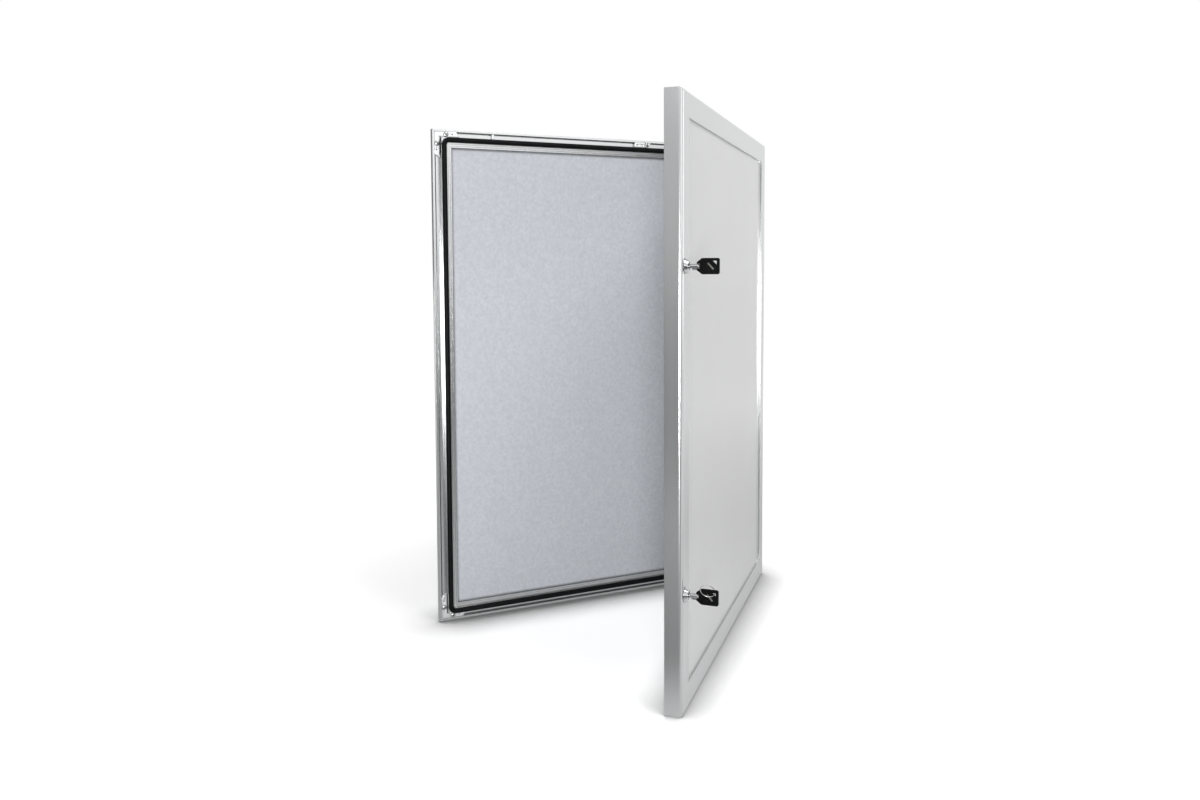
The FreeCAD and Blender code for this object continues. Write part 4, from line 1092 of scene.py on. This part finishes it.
mirrored = maths(tree, "MULTIPLY", maths(tree, "MULTIPLY", path["Is Glossy Ray"], on_right), far_white)
glow = maths(tree, "MAXIMUM", maths(tree, "MULTIPLY", seen, helped), mirrored)
mirrored_left = maths(tree, "MULTIPLY", path["Is Glossy Ray"], maths(tree, "SUBTRACT", 1.0, on_right))
set_look(tree, shader, Base_Color=mix_colour(tree, mirrored_left, white, rgb(0.30)), Roughness=0.9,
         Specular_IOR_Level=0.0, Emission_Color=rgb(1.0), Emission_Strength=glow)
points = [Vector((x * FLOOR_HALF_SIZE, y * FLOOR_HALF_SIZE, -DOOR_HALF_HEIGHT * MM))
          for x, y in ((-1, -1), (1, -1), (1, 1), (-1, 1))]
floor = make_piece("studio_floor", points, [(0, 1, 2, 3)], floor_paint)
floor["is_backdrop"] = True
print("floor at", -DOOR_HALF_HEIGHT, "mm")

# %% Sky
LIGHTING_GREY = 0.10
MIRRORED_GREY = 0.12
PANELS = {"wall behind the board": ((0.85, 0.52, 0.05), 0.86, 6.0),
          "screen in front": ((0.3, -0.95, 0.08), 1.7, 14.0),
          "room on the left": ((-0.86, -0.5, 0.1), 0.4, 8.0),
          "ceiling": ((0.0, 0.0, 1.0), 0.6, 3.0)}
world = bpy.data.worlds.new("White studio")
bpy.context.scene.world = world
world.use_nodes = True
sky = world.node_tree
direction = add(sky, "ShaderNodeTexCoord").outputs["Generated"]


def panel(towards, level, narrowness):
    """A bright soft patch of the sky round one direction."""
    facing = vector_maths(sky, "DOT_PRODUCT", direction, Vector(towards).normalized())["Value"]
    nearness = stretch(sky, facing, -1.0, 1.0, 0.0, 1.0)
    return maths(sky, "MULTIPLY", maths(sky, "POWER", nearness, narrowness), level)


in_mirrors = MIRRORED_GREY
for towards, level, narrowness in PANELS.values():
    in_mirrors = maths(sky, "ADD", panel(towards, level, narrowness), in_mirrors)
path = add(sky, "ShaderNodeLightPath").outputs
seen = maths(sky, "MAXIMUM", path["Is Camera Ray"], path["Is Transmission Ray"])
mirrored = maths(sky, "MULTIPLY", path["Is Glossy Ray"], in_mirrors)
level = maths(sky, "MAXIMUM", maths(sky, "MAXIMUM", mirrored, seen), LIGHTING_GREY)
feed(sky, sky.nodes["Background"].inputs["Strength"], level)
feed(sky, sky.nodes["Background"].inputs["Color"], rgb(1.0))
print("mirrored in the metal:", ", ".join(PANELS))


# %% Lamps
def lamp(name, place, target, size, power):
    """A square soft lamp that looks at a point."""
    data = bpy.data.lights.new(name, "AREA")
    data.size = size
    data.energy = power
    made = link(bpy.data.objects.new(name, data))
    made.location = place
    made.rotation_euler = (Vector(target) - Vector(place)).to_track_quat("-Z", "Y").to_euler()


CASE_MIDDLE = (-0.15, 0.0, 0.02)
lamp("High lamp", (0.5, -1.7, 2.4), (0.0, -0.2, -0.1), 1.0, 22.0)
lamp("Lamp behind the camera", (-0.95, -1.9, -0.05), CASE_MIDDLE, 0.5, 22.0)
lamp("Upper left lamp", (-1.3, -1.7, 1.2), CASE_MIDDLE, 0.9, 2.8)
lamp("Right lamp", (2.4, -0.9, 0.6), (0.1, -0.2, 0.0), 1.4, 13.0)
print(len(bpy.data.lights), "lamps")

# %% [markdown]
# ## Check the size and finish
# Both boxes, of the solids and of the dressed board, are printed.

# %% Print the sizes
dressed_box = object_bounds()
boxes = {"solid": [list(corner) for corner in solid_box], "dressed": [list(corner) for corner in dressed_box]}
for name, box in boxes.items():
    print(name, [rounded(corner, 4) for corner in box])
